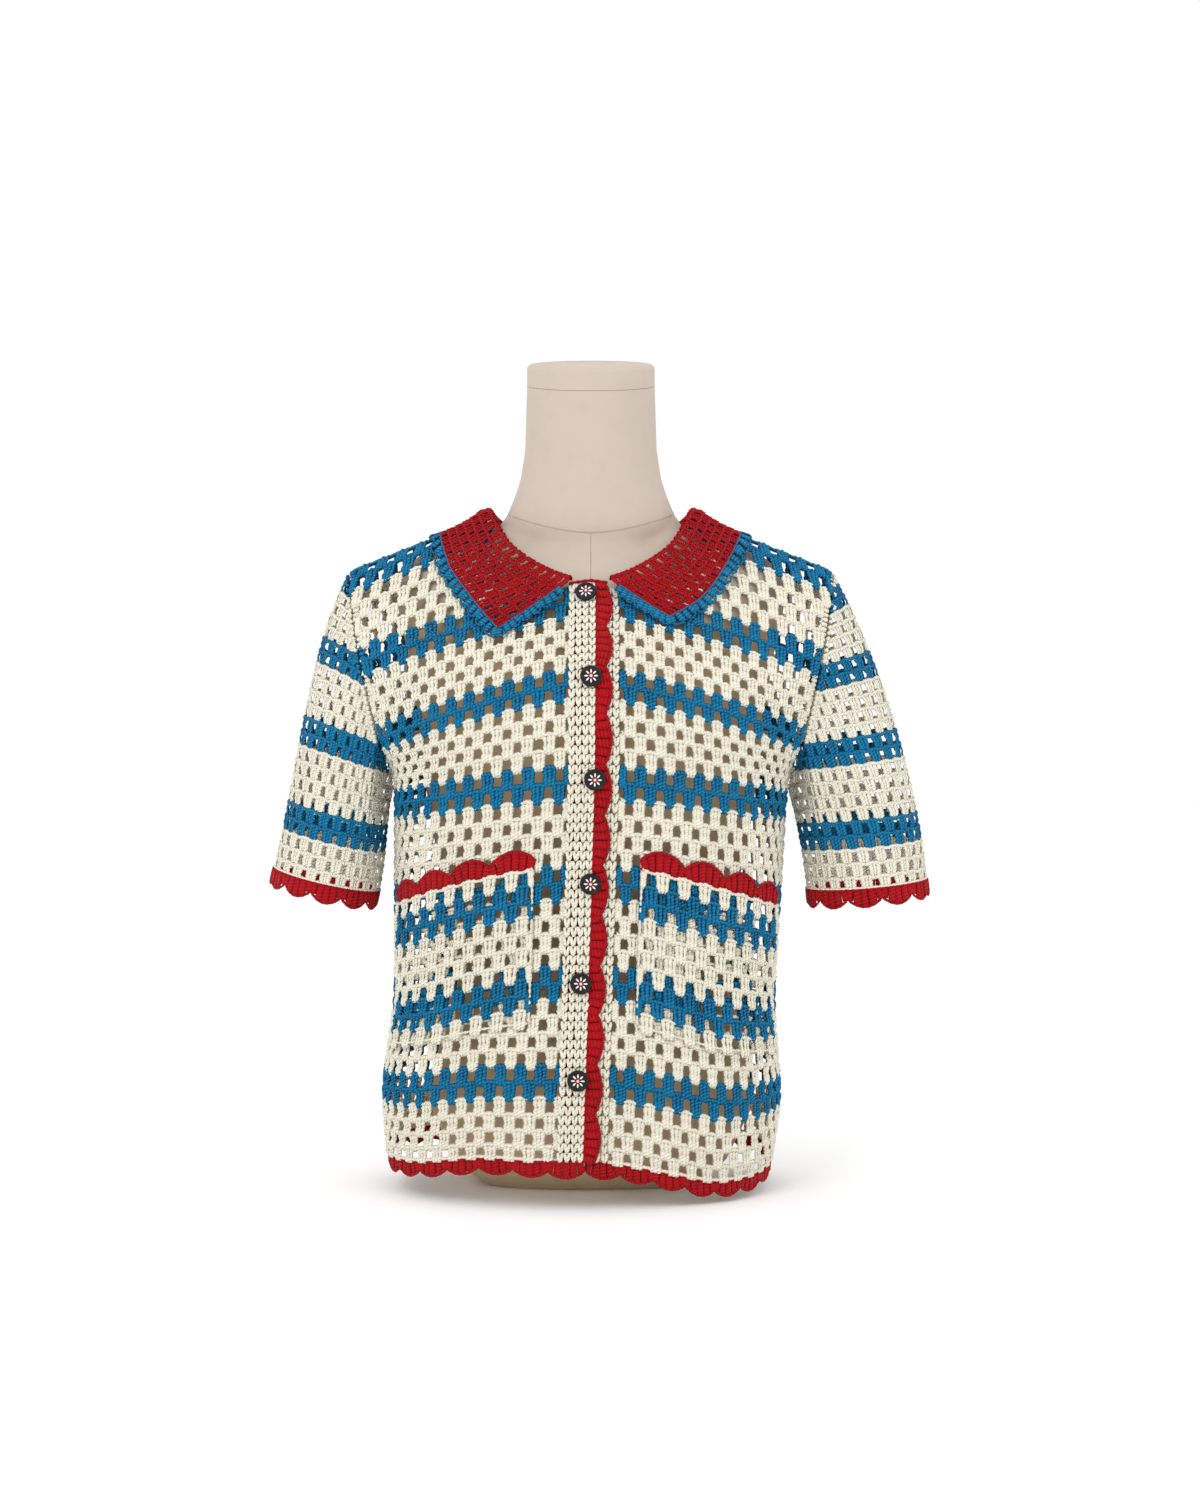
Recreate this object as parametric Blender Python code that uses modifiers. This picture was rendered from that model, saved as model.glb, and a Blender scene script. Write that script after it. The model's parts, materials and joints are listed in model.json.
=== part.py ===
"""Short-sleeved crochet cardigan on a limbless dress form.

Metres, +Z up. The front faces -Y, the form's flat base lies at z = 0 and its neck stands on
the Z axis. The wearer's right front lies over the left one and is at -X.

The cloth is one curved surface, the mantle, read by two coordinates: across, the distance
along a crochet row from the centre line, and row, the number of rows up from the front hem,
over the shoulder and down to the back hem. Every piece is a patch of it, moved out by its lift.
"""

from collections import namedtuple
from math import pi

import bmesh
import bpy
import numpy as np
from mathutils import Vector
from mathutils.bvhtree import BVHTree

# Cloth
WALL = 0.0030
EDGING_WALL = 0.0026
SEAM_GAP = 0.0003
BENT_SEAM_GAP = 0.0006
SHOULDER_GAP = 0.0012
SHOULDER_END_GAP = 0.0030
LAYER = 0.0034
POCKET_LIFT = 0.0036
ROW_HEIGHT = 0.0137

# Rows: hem, underarm, shoulder seam, and the same down the back
UNDERARM_ROW = 24.0
SHOULDER_ROW = 42.0
BACK_UNDERARM_ROW = 60.0
BACK_HEM_ROW = 84.0

# Neckline, an ellipse behind the shoulder seam and a straighter curve before it
NECK_HALF_WIDTH = 0.095
FRONT_NECK_POWER = 1.40
BACK_NECK_POWER = 2.0
NECK_MARGIN = 0.0035
ARMHOLE_MARGIN = 0.0007
UNDERARM_SETBACK = 0.0040
SHOULDER_SETBACK = 0.0014
FRONT_NECK_ROWS = 6.3
BACK_NECK_ROWS = 4.8

# Button bands and front edgings, across the centre front
TOP_BAND = (-0.0180, 0.0042)
UNDER_BAND = (-0.0060, 0.0240)
TOP_EDGING = (0.0046, 0.0175)
UNDER_EDGING = (-0.0160, -0.0064)
UNDER_EDGING_LIFT = -0.0007
RIGHT_PANEL_START = 0.0165
LEFT_PANEL_START = 0.0243
BAND_TOP_ROW = 36.0
LINE_ROWS = 1.5

# Edgings
HEM_EDGING_DEPTH = 0.0130
HEM_EDGING_ROOT = 0.0070
SCALLOP = 0.0300
FRONT_SCALLOPS = 12
COLLAR_EDGING_DEPTH = 0.0085
COLLAR_EDGING_SEAM = 0.0009
COLLAR_END_START = 0.16
COLLAR_END_SCALLOPS = 3
COLLAR_SCALLOPS = 26
CUFF_EDGING_DEPTH = 0.0150
POCKET_EDGING_DEPTH = 0.0170
CUFF_SCALLOPS = 11

# Buttons: their places on the top band
ButtonPlace = namedtuple("ButtonPlace", "row across")
BUTTONS = (
    ButtonPlace(5.0, -0.0025),
    ButtonPlace(10.9, -0.0025),
    ButtonPlace(16.9, 0.0030),
    ButtonPlace(23.1, 0.0040),
    ButtonPlace(29.2, 0.0005),
    ButtonPlace(35.2, -0.0035),
)
BUTTON_DIAMETER = 0.0180

# Dress form
NECK_BASE = 0.5750
CAP_RADIUS = 0.0550
CAP_SEAM_HEIGHT = 0.6910
CAP_THICKNESS = 0.0180
CAP_BEVEL = 0.0025
CAP_TILT_DEGREES = 9.5
FORM_CLEARANCE = 0.0012
MANTLE_CLEARANCE = 0.0026

# The body leans a little to the wearer's right towards the hem
LEAN = -0.0100

# How far the front hem waves up or down, by the share of the way to the side seam
HemWave = namedtuple("HemWave", "share right left")
HEM_WAVE = (
    HemWave(0.00, -0.001, -0.001),
    HemWave(0.10, 0.000, -0.003),
    HemWave(0.30, 0.004, -0.011),
    HemWave(0.45, 0.002, -0.016),
    HemWave(0.60, 0.000, -0.014),
    HemWave(0.85, 0.001, -0.006),
    HemWave(1.00, 0.010, 0.000),
)

MantleRow = namedtuple("MantleRow", "row half_width centre_y edge_y centre_z edge_z turn")
MANTLE = (
    MantleRow(-1.5, 0.1640, -0.1170, 0.0, 0.0205, 0.0090, 90),
    MantleRow(0.0, 0.1660, -0.1190, 0.0, 0.0410, 0.0290, 90),
    MantleRow(4.0, 0.1705, -0.1230, 0.0, 0.0960, 0.0770, 90),
    MantleRow(11.0, 0.1630, -0.1200, 0.0, 0.1910, 0.1700, 90),
    MantleRow(17.0, 0.1650, -0.1240, 0.0, 0.2740, 0.2520, 90),
    MantleRow(24.0, 0.1680, -0.1350, 0.0, 0.3710, 0.3450, 90),
    MantleRow(29.0, 0.1790, -0.1300, -0.0500, 0.4390, 0.3900, 62),
    MantleRow(35.0, 0.1950, -0.0860, -0.0470, 0.5060, 0.4550, 45),
    MantleRow(39.0, 0.2040, -0.0420, -0.0270, 0.5620, 0.5030, 25),
    MantleRow(42.0, 0.2080, 0.0000, 0.0000, 0.6120, 0.5300, 8),
    MantleRow(45.0, 0.2040, 0.0480, 0.0280, 0.5900, 0.5030, 25),
    MantleRow(49.0, 0.1950, 0.0900, 0.0480, 0.5340, 0.4550, 45),
    MantleRow(55.0, 0.1790, 0.1130, 0.0510, 0.4560, 0.3900, 62),
    MantleRow(60.0, 0.1680, 0.1140, 0.0, 0.3880, 0.3450, 90),
    MantleRow(67.0, 0.1650, 0.1080, 0.0, 0.2920, 0.2520, 90),
    MantleRow(73.0, 0.1630, 0.1050, 0.0, 0.2090, 0.1700, 90),
    MantleRow(80.0, 0.1705, 0.1120, 0.0, 0.1000, 0.0770, 90),
    MantleRow(84.0, 0.1660, 0.1120, 0.0, 0.0420, 0.0290, 90),
    MantleRow(85.5, 0.1640, 0.1110, 0.0, 0.0215, 0.0090, 90),
)
ROUNDNESS = 2.3

FormSection = namedtuple("FormSection", "height half_width front back")
FORM = (
    FormSection(0.000, 0.0950, 0.0340, 0.0700),
    FormSection(0.020, 0.1180, 0.0520, 0.0840),
    FormSection(0.070, 0.1420, 0.0880, 0.0940),
    FormSection(0.125, 0.1310, 0.0830, 0.0800),
    FormSection(0.185, 0.1200, 0.0800, 0.0720),
    FormSection(0.250, 0.1260, 0.0900, 0.0790),
    FormSection(0.310, 0.1380, 0.1080, 0.0880),
    FormSection(0.360, 0.1450, 0.1200, 0.0940),
    FormSection(0.410, 0.1500, 0.1150, 0.0980),
    FormSection(0.450, 0.1560, 0.1000, 0.0980),
    FormSection(0.490, 0.1650, 0.0820, 0.0900),
    FormSection(0.515, 0.1690, 0.0720, 0.0800),
    FormSection(0.530, 0.1650, 0.0680, 0.0760),
    FormSection(0.545, 0.1480, 0.0640, 0.0740),
    FormSection(0.558, 0.1160, 0.0590, 0.0690),
    FormSection(0.564, 0.0960, 0.0575, 0.0665),
    FormSection(0.570, 0.0790, 0.0560, 0.0640),
    FormSection(0.580, 0.0720, 0.0550, 0.0620),
    FormSection(0.597, 0.0650, 0.0540, 0.0590),
    FormSection(0.611, 0.0606, 0.0535, 0.0570),
    FormSection(0.636, 0.0567, 0.0530, 0.0550),
)
NECK = (
    FormSection(0.000, 0.0100, 0.0100, 0.0100),
    FormSection(0.500, 0.0200, 0.0200, 0.0200),
    FormSection(0.545, 0.0540, 0.0470, 0.0500),
    FormSection(0.558, 0.0620, 0.0510, 0.0560),
    FormSection(0.570, 0.0700, 0.0545, 0.0600),
    FormSection(0.580, 0.0715, 0.0548, 0.0610),
    FormSection(0.597, 0.0650, 0.0540, 0.0590),
    FormSection(0.611, 0.0606, 0.0535, 0.0570),
    FormSection(0.636, 0.0567, 0.0530, 0.0550),
)

SHOULDER_ANGLE = 90.0
CollarPoint = namedtuple("CollarPoint", "angle across row")
COLLAR_OUTLINES = {
    -1: (
        CollarPoint(16, 0.0780, 34.0),
        CollarPoint(35, 0.1030, 36.7),
        CollarPoint(62, 0.1250, 39.3),
        CollarPoint(90, 0.1390, 42.0),
        CollarPoint(120, 0.1240, 46.2),
        CollarPoint(150, 0.0780, 49.7),
        CollarPoint(180, 0.0001, 50.8),
    ),
    1: (
        CollarPoint(16, 0.0660, 34.6),
        CollarPoint(35, 0.0950, 36.5),
        CollarPoint(62, 0.1190, 39.2),
        CollarPoint(90, 0.1380, 42.0),
        CollarPoint(120, 0.1240, 46.2),
        CollarPoint(150, 0.0780, 49.7),
        CollarPoint(180, 0.0001, 50.8),
    ),
}
CollarFold = namedtuple("CollarFold", "spread inset lift")
COLLAR_FOLD = (
    CollarFold(0.00, 0.0045, 0.0020),
    CollarFold(0.00, 0.0055, 0.0052),
    CollarFold(0.02, 0.0050, 0.0080),
    CollarFold(0.08, 0.0000, 0.0092),
    CollarFold(0.28, 0.0000, 0.0066),
    CollarFold(0.60, 0.0000, 0.0046),
    CollarFold(1.00, 0.0000, 0.0040),
)

PocketEdge = namedtuple("PocketEdge", "along bottom_row top_row")
POCKET_START = 0.0430
POCKET_WIDTH = 0.1450
POCKET_COLUMNS = 7
POCKET = (
    PocketEdge(0.0, 8.5, 18.0),
    PocketEdge(0.5, 8.0, 17.4),
    PocketEdge(1.0, 7.7, 16.6),
)
POCKET_SCALLOPS = 4

Sleeve = namedtuple("Sleeve", "side centre half_width half_depth tilt")
SLEEVES = {
    "right": Sleeve(-1, (-0.2280, -0.0140, 0.2660), 0.0465, 0.0560, 0.230),
    "left": Sleeve(1, (0.2380, -0.0140, 0.2620), 0.0520, 0.0540, 0.090),
}

CREAM = ((0.86, 0.81, 0.66), 0.85)
BLUE = ((0.01, 0.21, 0.50), 0.80)
RED = ((0.55, 0.01, 0.02), 0.80)
LINEN = ((0.66, 0.58, 0.48), 0.90)
BLACK = ((0.015, 0.015, 0.017), 0.30)


def smooth_table(rows, key, columns, at):
    """Monotone cubic interpolation of the named columns of a table, one column after another."""
    knots = np.array([getattr(row, key) for row in rows], float)
    values = np.array([[getattr(row, name) for name in columns] for row in rows], float)
    at = np.clip(np.asarray(at, float), knots[0], knots[-1])
    steps = np.diff(knots)[:, None]
    rises = np.diff(values, axis=0) / steps
    slopes = np.zeros_like(values)
    inner = rises[:-1] * rises[1:] > 0
    weight_a = 2 * steps[1:] + steps[:-1]
    weight_b = steps[1:] + 2 * steps[:-1]
    safe = np.where(inner, 1.0, np.nan)
    mean = (weight_a + weight_b) / (weight_a / (rises[:-1] * safe) + weight_b / (rises[1:] * safe))
    slopes[1:-1] = np.where(inner, mean, 0.0)
    slopes[0] = rises[0]
    slopes[-1] = rises[-1]
    cell = np.clip(np.searchsorted(knots, at, side="right") - 1, 0, len(knots) - 2)
    width = steps[cell]
    part = ((at - knots[cell]) / steps[cell, 0])[..., None]
    start = values[cell] * (1 + 2 * part) * (1 - part) ** 2
    end = values[cell + 1] * part**2 * (3 - 2 * part)
    lean_in = slopes[cell] * part * (1 - part) ** 2 * width
    lean_out = slopes[cell + 1] * part**2 * (part - 1) * width
    table = start + end + lean_in + lean_out
    return [table[..., index] for index in range(len(columns))]


class Mantle:
    """The curved surface of the worn body, sampled finely once and read between the samples."""

    COLUMNS = 72
    ROWS_STEP = 0.25

    def __init__(self):
        first, last = MANTLE[0].row, MANTLE[-1].row
        self.rows = np.arange(first, last + self.ROWS_STEP / 2, self.ROWS_STEP)
        halves = [self.half(side) for side in (-1, 1)]
        self.lengths = [lengths for _, lengths in halves]
        self.points = np.concatenate([halves[0][0][:, ::-1], halves[1][0][:, 1:]], axis=1)
        along = np.gradient(self.points, axis=0)
        across = np.gradient(self.points, axis=1)
        normals = np.cross(across, along)
        self.normals = normals / np.linalg.norm(normals, axis=2, keepdims=True)

    def half(self, side):
        """One side: each row's curve from the centre out, its samples spaced evenly along it."""
        names = ("half_width", "centre_y", "edge_y", "centre_z", "edge_z", "turn")
        width, y_in, y_out, z_in, z_out, turn = smooth_table(MANTLE, "row", names, self.rows)
        share = np.linspace(0, 1, 241)[None, :]
        swing = np.radians(turn)[:, None]
        power = 2 / ROUNDNESS
        blend = np.clip((turn[:, None] - 8) / 82, 0, 1)
        sine = np.sin(swing * share) / np.sin(swing)
        sine = (1 - blend) * sine + blend * sine**power
        cosine = (1 - np.cos(swing * share)) / (1 - np.cos(swing))
        cosine = (1 - blend) * cosine + blend * (1 - (1 - cosine) ** power)
        from_hem = np.minimum(self.rows, BACK_HEM_ROW - self.rows)[:, None]
        low = np.clip(1 - from_hem / UNDERARM_ROW, 0, 1)
        wave = smooth_table(HEM_WAVE, "share", ["right" if side < 0 else "left"], share[0])[0]
        in_front = self.rows[:, None] < SHOULDER_ROW
        wave = np.where(in_front, wave, wave[-1] * share**2) * low**1.5
        x = side * width[:, None] * sine + LEAN * low
        y = y_in[:, None] + (y_out - y_in)[:, None] * cosine
        bow = 1 + 0.6 * blend
        z = z_in[:, None] + (z_out - z_in)[:, None] * sine**bow + wave
        curve = np.stack([x, y, z], axis=2)
        travelled = np.linalg.norm(np.diff(curve, axis=1), axis=2).cumsum(axis=1)
        travelled = np.concatenate([np.zeros((len(self.rows), 1)), travelled], axis=1)
        lengths = travelled[:, -1]
        even = np.linspace(0, 1, self.COLUMNS + 1)
        points = np.empty((len(self.rows), self.COLUMNS + 1, 3))
        for index, (steps, total) in enumerate(zip(travelled, lengths)):
            for axis in range(3):
                points[index, :, axis] = np.interp(even * total, steps, curve[index, :, axis])
        return points, lengths

    def reach(self, side, row):
        """Length of a row from the centre line to the side seam or the armhole."""
        return np.interp(row, self.rows, self.lengths[0 if side < 0 else 1])

    def at(self, across, row, lift=0.0):
        """Points at signed distances across and at rows, moved out of the cloth by lift."""
        across, row, lift = np.broadcast_arrays(
            np.asarray(across, float), np.asarray(row, float), np.asarray(lift, float)
        )
        reach = np.where(across < 0, self.reach(-1, row), self.reach(1, row))
        column = np.clip(across / reach, -1, 1) * self.COLUMNS + self.COLUMNS
        line = np.clip((row - self.rows[0]) / self.ROWS_STEP, 0, len(self.rows) - 1)
        left = np.minimum(column.astype(int), 2 * self.COLUMNS - 1)
        low = np.minimum(line.astype(int), len(self.rows) - 2)
        a = (column - left)[..., None]
        b = (line - low)[..., None]

        def blend(grid):
            lower = grid[low, left] * (1 - a) + grid[low, left + 1] * a
            upper = grid[low + 1, left] * (1 - a) + grid[low + 1, left + 1] * a
            return lower * (1 - b) + upper * b

        normal = blend(self.normals)
        normal = normal / np.linalg.norm(normal, axis=-1, keepdims=True)
        return blend(self.points) + normal * lift[..., None]


def neckline(row):
    """Distance from the centre line to the neckline at a row, or 0 below it."""
    from_shoulder = np.asarray(row, float) - SHOULDER_ROW
    depth = np.where(from_shoulder < 0, FRONT_NECK_ROWS, BACK_NECK_ROWS)
    power = np.where(from_shoulder < 0, FRONT_NECK_POWER, BACK_NECK_POWER)
    inside = np.clip(1 - np.abs(from_shoulder / depth) ** power, 0, 1)
    return NECK_HALF_WIDTH * inside ** (1 / power)


def neck_point(angle):
    """(across, row) on the neckline, by degrees round it from the centre front."""
    sine, cosine = np.sin(np.radians(angle)), np.cos(np.radians(angle))
    front = cosine > 0
    depth = np.where(front, FRONT_NECK_ROWS, -BACK_NECK_ROWS)
    power = 2 / np.where(front, FRONT_NECK_POWER, BACK_NECK_POWER)
    across = NECK_HALF_WIDTH * np.maximum(sine, 0.0) ** power
    return across, SHOULDER_ROW - depth * np.abs(cosine) ** power


def start_scene():
    """Empty scene with one collection for the parts."""
    for obj in list(bpy.data.objects):
        bpy.data.objects.remove(obj, do_unlink=True)
    parts = bpy.data.collections.new("cardigan_on_dress_form")
    bpy.context.scene.collection.children.link(parts)
    return parts


def finish_material(name, look):
    """Principled material of one plain colour."""
    colour, roughness = look
    material = bpy.data.materials.new(name)
    material.use_nodes = True
    shader = material.node_tree.nodes["Principled BSDF"]
    shader.inputs["Base Color"].default_value = (*colour, 1.0)
    shader.inputs["Roughness"].default_value = roughness
    shader.inputs["Metallic"].default_value = 0.0
    return material


def add_object(name, mesh, look):
    """Object of its own material, shaded smooth but for its sharp edges."""
    obj = bpy.data.objects.new(name, mesh)
    PARTS.objects.link(obj)
    mesh.materials.append(finish_material(name + "_finish", look))
    mesh.shade_smooth()
    mesh.set_sharp_from_angle(angle=0.9)
    return obj


def grid_mesh(name, points, closed=False):
    """Open surface through a grid of points, closed along its second direction if asked."""
    lines, columns = points.shape[:2]
    index = np.arange(lines * columns).reshape(lines, columns)
    if closed:
        index = np.concatenate([index, index[:, :1]], axis=1)
    corners = (index[:-1, :-1], index[:-1, 1:], index[1:, 1:], index[1:, :-1])
    faces = np.stack([corner.ravel() for corner in corners], axis=1)
    mesh = bpy.data.meshes.new(name)
    mesh.from_pydata(points.reshape(-1, 3).tolist(), [], faces.tolist())
    return mesh


def cloth(name, points, look, wall=WALL, closed=False, flip=False):
    """Cloth piece: a surface given its wall on both sides by Solidify."""
    mesh = grid_mesh(name, points, closed)
    if flip:
        mesh.flip_normals()
    obj = add_object(name, mesh, look)
    thicken = obj.modifiers.new("wall", "SOLIDIFY")
    thicken.thickness = wall
    thicken.offset = 0.0
    thicken.use_even_offset = True
    thicken.use_quality_normals = True
    return obj


def lobes(position, count):
    """Rounded scallops: 0 in the notches and 1 at the tips, over 0 to 1."""
    return np.abs(np.sin(pi * count * position)) ** 0.6


def front_lines(side, start, rows):
    """Distances across of a front's column lines at rows; lines 1 to 8 also bound the pocket."""
    pocket = POCKET_START + np.linspace(0, POCKET_WIDTH, POCKET_COLUMNS + 1)
    seam = MESH_BODY.reach(side, UNDERARM_ROW / 2)
    share = (np.concatenate([[start], pocket, [(pocket[-1] + seam) / 2, seam]]) - start) / (seam - start)
    inner = np.maximum(start, neckline(rows) + NECK_MARGIN * (rows > BAND_TOP_ROW))
    outer = MESH_BODY.reach(side, rows)
    outer = outer - np.where(rows > UNDERARM_ROW, ARMHOLE_MARGIN, BENT_SEAM_GAP / 2)
    return inner[:, None] + (outer - inner)[:, None] * share[None, :]


def shoulder_margin(across):
    """Rows left free on each side of the shoulder seam, more towards its bent outer end."""
    part = np.clip((across - NECK_HALF_WIDTH) / (MESH_BODY.reach(1, SHOULDER_ROW) - NECK_HALF_WIDTH), 0, 1)
    return (SHOULDER_GAP + (SHOULDER_END_GAP - SHOULDER_GAP) * part**2) / 2 / ROW_HEIGHT


def front_panel(name, side, start):
    """One front, from the band to the side seam and armhole, cut out at the neck."""
    body = np.arange(0, BAND_TOP_ROW + LINE_ROWS / 2, LINE_ROWS)
    neck = np.linspace(BAND_TOP_ROW, SHOULDER_ROW, 7)[1:]
    rows = np.concatenate([body, neck])
    across = front_lines(side, start, rows)
    level = rows[:, None] + 0 * across
    level[-1] -= shoulder_margin(across[-1])
    points = MESH_BODY.at(side * across, level)
    return cloth(name, points, CREAM, flip=side < 0)


def back_panel(neck_columns=5, side_columns=5):
    """The back, from side to side, with the back neck cut out and both shoulders."""
    neck_end = (NECK_HALF_WIDTH + NECK_MARGIN) / MESH_BODY.reach(1, SHOULDER_ROW)
    inside = neck_end * np.sin(np.linspace(0, pi / 2, neck_columns + 1))
    half = np.concatenate([inside, np.linspace(neck_end, 1, side_columns + 1)[1:]])
    share = np.concatenate([-half[:0:-1], half])
    reach_top = np.where(share < 0, MESH_BODY.reach(-1, SHOULDER_ROW), MESH_BODY.reach(1, SHOULDER_ROW))
    inside = np.clip(1 - (share * reach_top / (NECK_HALF_WIDTH + NECK_MARGIN)) ** 2, 0, 1)
    tops = SHOULDER_ROW + (BACK_NECK_ROWS + 0.3) * np.sqrt(inside)
    tops += shoulder_margin(abs(share) * reach_top)
    shoulder = SHOULDER_ROW + 6
    part = np.linspace(0, 1, 7)[:-1, None]
    upper = tops[None, :] + (shoulder - tops)[None, :] * part
    lower = np.arange(shoulder, BACK_HEM_ROW + LINE_ROWS / 2, LINE_ROWS)[:, None]
    rows = np.concatenate([upper, lower + 0 * share[None, :]])
    reach = np.where(share < 0, MESH_BODY.reach(-1, rows), MESH_BODY.reach(1, rows))
    margin = np.where(rows < BACK_UNDERARM_ROW, ARMHOLE_MARGIN, BENT_SEAM_GAP / 2)
    points = MESH_BODY.at(share[None, :] * (reach - margin), rows)
    return cloth("back", points, CREAM)


def button_band(name, edges, lift, columns=2):
    """Button band up one front."""
    rows = np.arange(0, BAND_TOP_ROW + LINE_ROWS / 2, LINE_ROWS)
    across = np.linspace(edges[0], edges[1], columns + 1)
    return cloth(name, MESH_BODY.at(across[None, :], rows[:, None], lift), CREAM)


def front_edging(name, root, tip, lift):
    """Scalloped edging up the front edge, from its root line out to its tips."""
    share = np.linspace(0, 1, FRONT_SCALLOPS * 4 + 1)
    rows = BAND_TOP_ROW * share
    reach = root + (tip - root) * (0.45 + 0.55 * lobes(share, FRONT_SCALLOPS))
    across = np.stack([np.full_like(rows, root), reach], axis=1)
    points = MESH_BODY.at(across, rows[:, None], lift)
    return cloth(name, points, RED, EDGING_WALL, flip=tip < root)


def hem_edging(name, start, end, lift, back=False):
    """Scalloped edging below a hem, between two distances across."""
    count = max(2, round(abs(end - start) / SCALLOP))
    share = np.linspace(0, 1, count * 4 + 1)
    across = start + (end - start) * share
    depth = HEM_EDGING_ROOT + (HEM_EDGING_DEPTH - HEM_EDGING_ROOT) * lobes(share, count)
    gap = BENT_SEAM_GAP / ROW_HEIGHT
    hem = BACK_HEM_ROW + gap if back else -gap
    tips = hem + (depth if back else -depth) / ROW_HEIGHT
    rows = np.stack([np.full_like(tips, hem), tips], axis=0)
    points = MESH_BODY.at(across[None, :], rows, lift(across)[None, :])
    return cloth(name, points, RED, EDGING_WALL, flip=not back)


def pocket_rows(along, share):
    """Row at a place along a pocket, by its share of the pocket's height."""
    bottom, top = smooth_table(POCKET, "along", ("bottom_row", "top_row"), along)
    return bottom + (top - bottom) * share


def pocket_grid(side, start, along, rows):
    """Points over a front's own column lines, from the pocket's inner to its outer side."""
    lines = front_lines(side, start, rows.ravel())[:, 1 : POCKET_COLUMNS + 2]
    place = along * POCKET_COLUMNS
    column = np.minimum(place.astype(int), POCKET_COLUMNS - 1)
    part = place - column
    columns = np.broadcast_to(column, rows.shape).ravel()
    parts = np.broadcast_to(part, rows.shape).ravel()
    index = np.arange(rows.size)
    across = lines[index, columns] * (1 - parts) + lines[index, columns + 1] * parts
    return MESH_BODY.at(side * across.reshape(rows.shape), rows, POCKET_LIFT)


def patch_pocket(name, side, start):
    """Patch pocket on one front, made from the front's points, moved out."""
    along = np.linspace(0, 1, POCKET_COLUMNS + 1)
    share = np.linspace(0, 1, 7)
    rows = pocket_rows(along[None, :], share[:, None])
    return cloth(name, pocket_grid(side, start, along, rows), CREAM, flip=side < 0)


def pocket_edging(name, side, start):
    """Scalloped edging along a pocket's top."""
    along = np.linspace(0, 1, POCKET_SCALLOPS * POCKET_COLUMNS + 1)
    root = pocket_rows(along, 1.0) + BENT_SEAM_GAP / ROW_HEIGHT
    height = POCKET_EDGING_DEPTH * (0.45 + 0.55 * lobes(along, POCKET_SCALLOPS))
    rows = np.stack([root, root + height / ROW_HEIGHT], axis=0)
    points = pocket_grid(side, start, along, rows)
    return cloth(name, points, RED, EDGING_WALL, flip=side < 0)


def collar_lines(angles, sides):
    """Inner and outer (across, row) of the collar at angles round the neck, for each side."""
    inner_across, inner_row = neck_point(angles)
    names = ("across", "row")
    right = smooth_table(COLLAR_OUTLINES[-1], "angle", names, angles)
    left = smooth_table(COLLAR_OUTLINES[1], "angle", names, angles)
    outer_across, outer_row = np.where(sides < 0, right, left)
    inner = np.stack([sides * inner_across, inner_row], axis=1)
    outer = np.stack([sides * outer_across, outer_row], axis=1)
    return inner, outer


def collar_stations(count):
    """Angles and sides from the right front end, round the back, to the left front end.

    One angle is the shoulder seam itself, so that no chord cuts through its ridge.
    """
    first = COLLAR_OUTLINES[-1][0].angle
    in_front = round(count * (SHOULDER_ANGLE - first) / (180 - first))
    front = np.linspace(first, SHOULDER_ANGLE, in_front + 1)
    behind = np.linspace(SHOULDER_ANGLE, 180, count - in_front + 1)
    half = np.concatenate([front, behind[1:]])
    angles = np.concatenate([half, half[-2::-1]])
    sides = np.concatenate([-np.ones(count + 1), np.ones(count)])
    return angles, sides


def collar(count=17):
    """Collar: a short stand, the fold, and the flat leaf with its two points."""
    angles, sides = collar_stations(count)
    inner, outer = collar_lines(angles, sides)
    middle = np.array([0.0, SHOULDER_ROW])
    lines = []
    for fold in COLLAR_FOLD:
        edge = inner + (outer - inner) * fold.spread
        shrink = 1 - fold.inset / NECK_HALF_WIDTH
        edge = middle + (edge - middle) * shrink
        lines.append(MESH_BODY.at(edge[:, 0], edge[:, 1], fold.lift))
    return cloth("collar", np.stack(lines, axis=0), RED, flip=True)


def resample(path, count):
    """Path with count + 1 points spaced evenly along it."""
    travelled = np.concatenate([[0], np.linalg.norm(np.diff(path, axis=0), axis=1).cumsum()])
    share = np.linspace(0, travelled[-1], count + 1)
    return np.stack([np.interp(share, travelled, path[:, k]) for k in range(path.shape[1])], axis=1)


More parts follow.
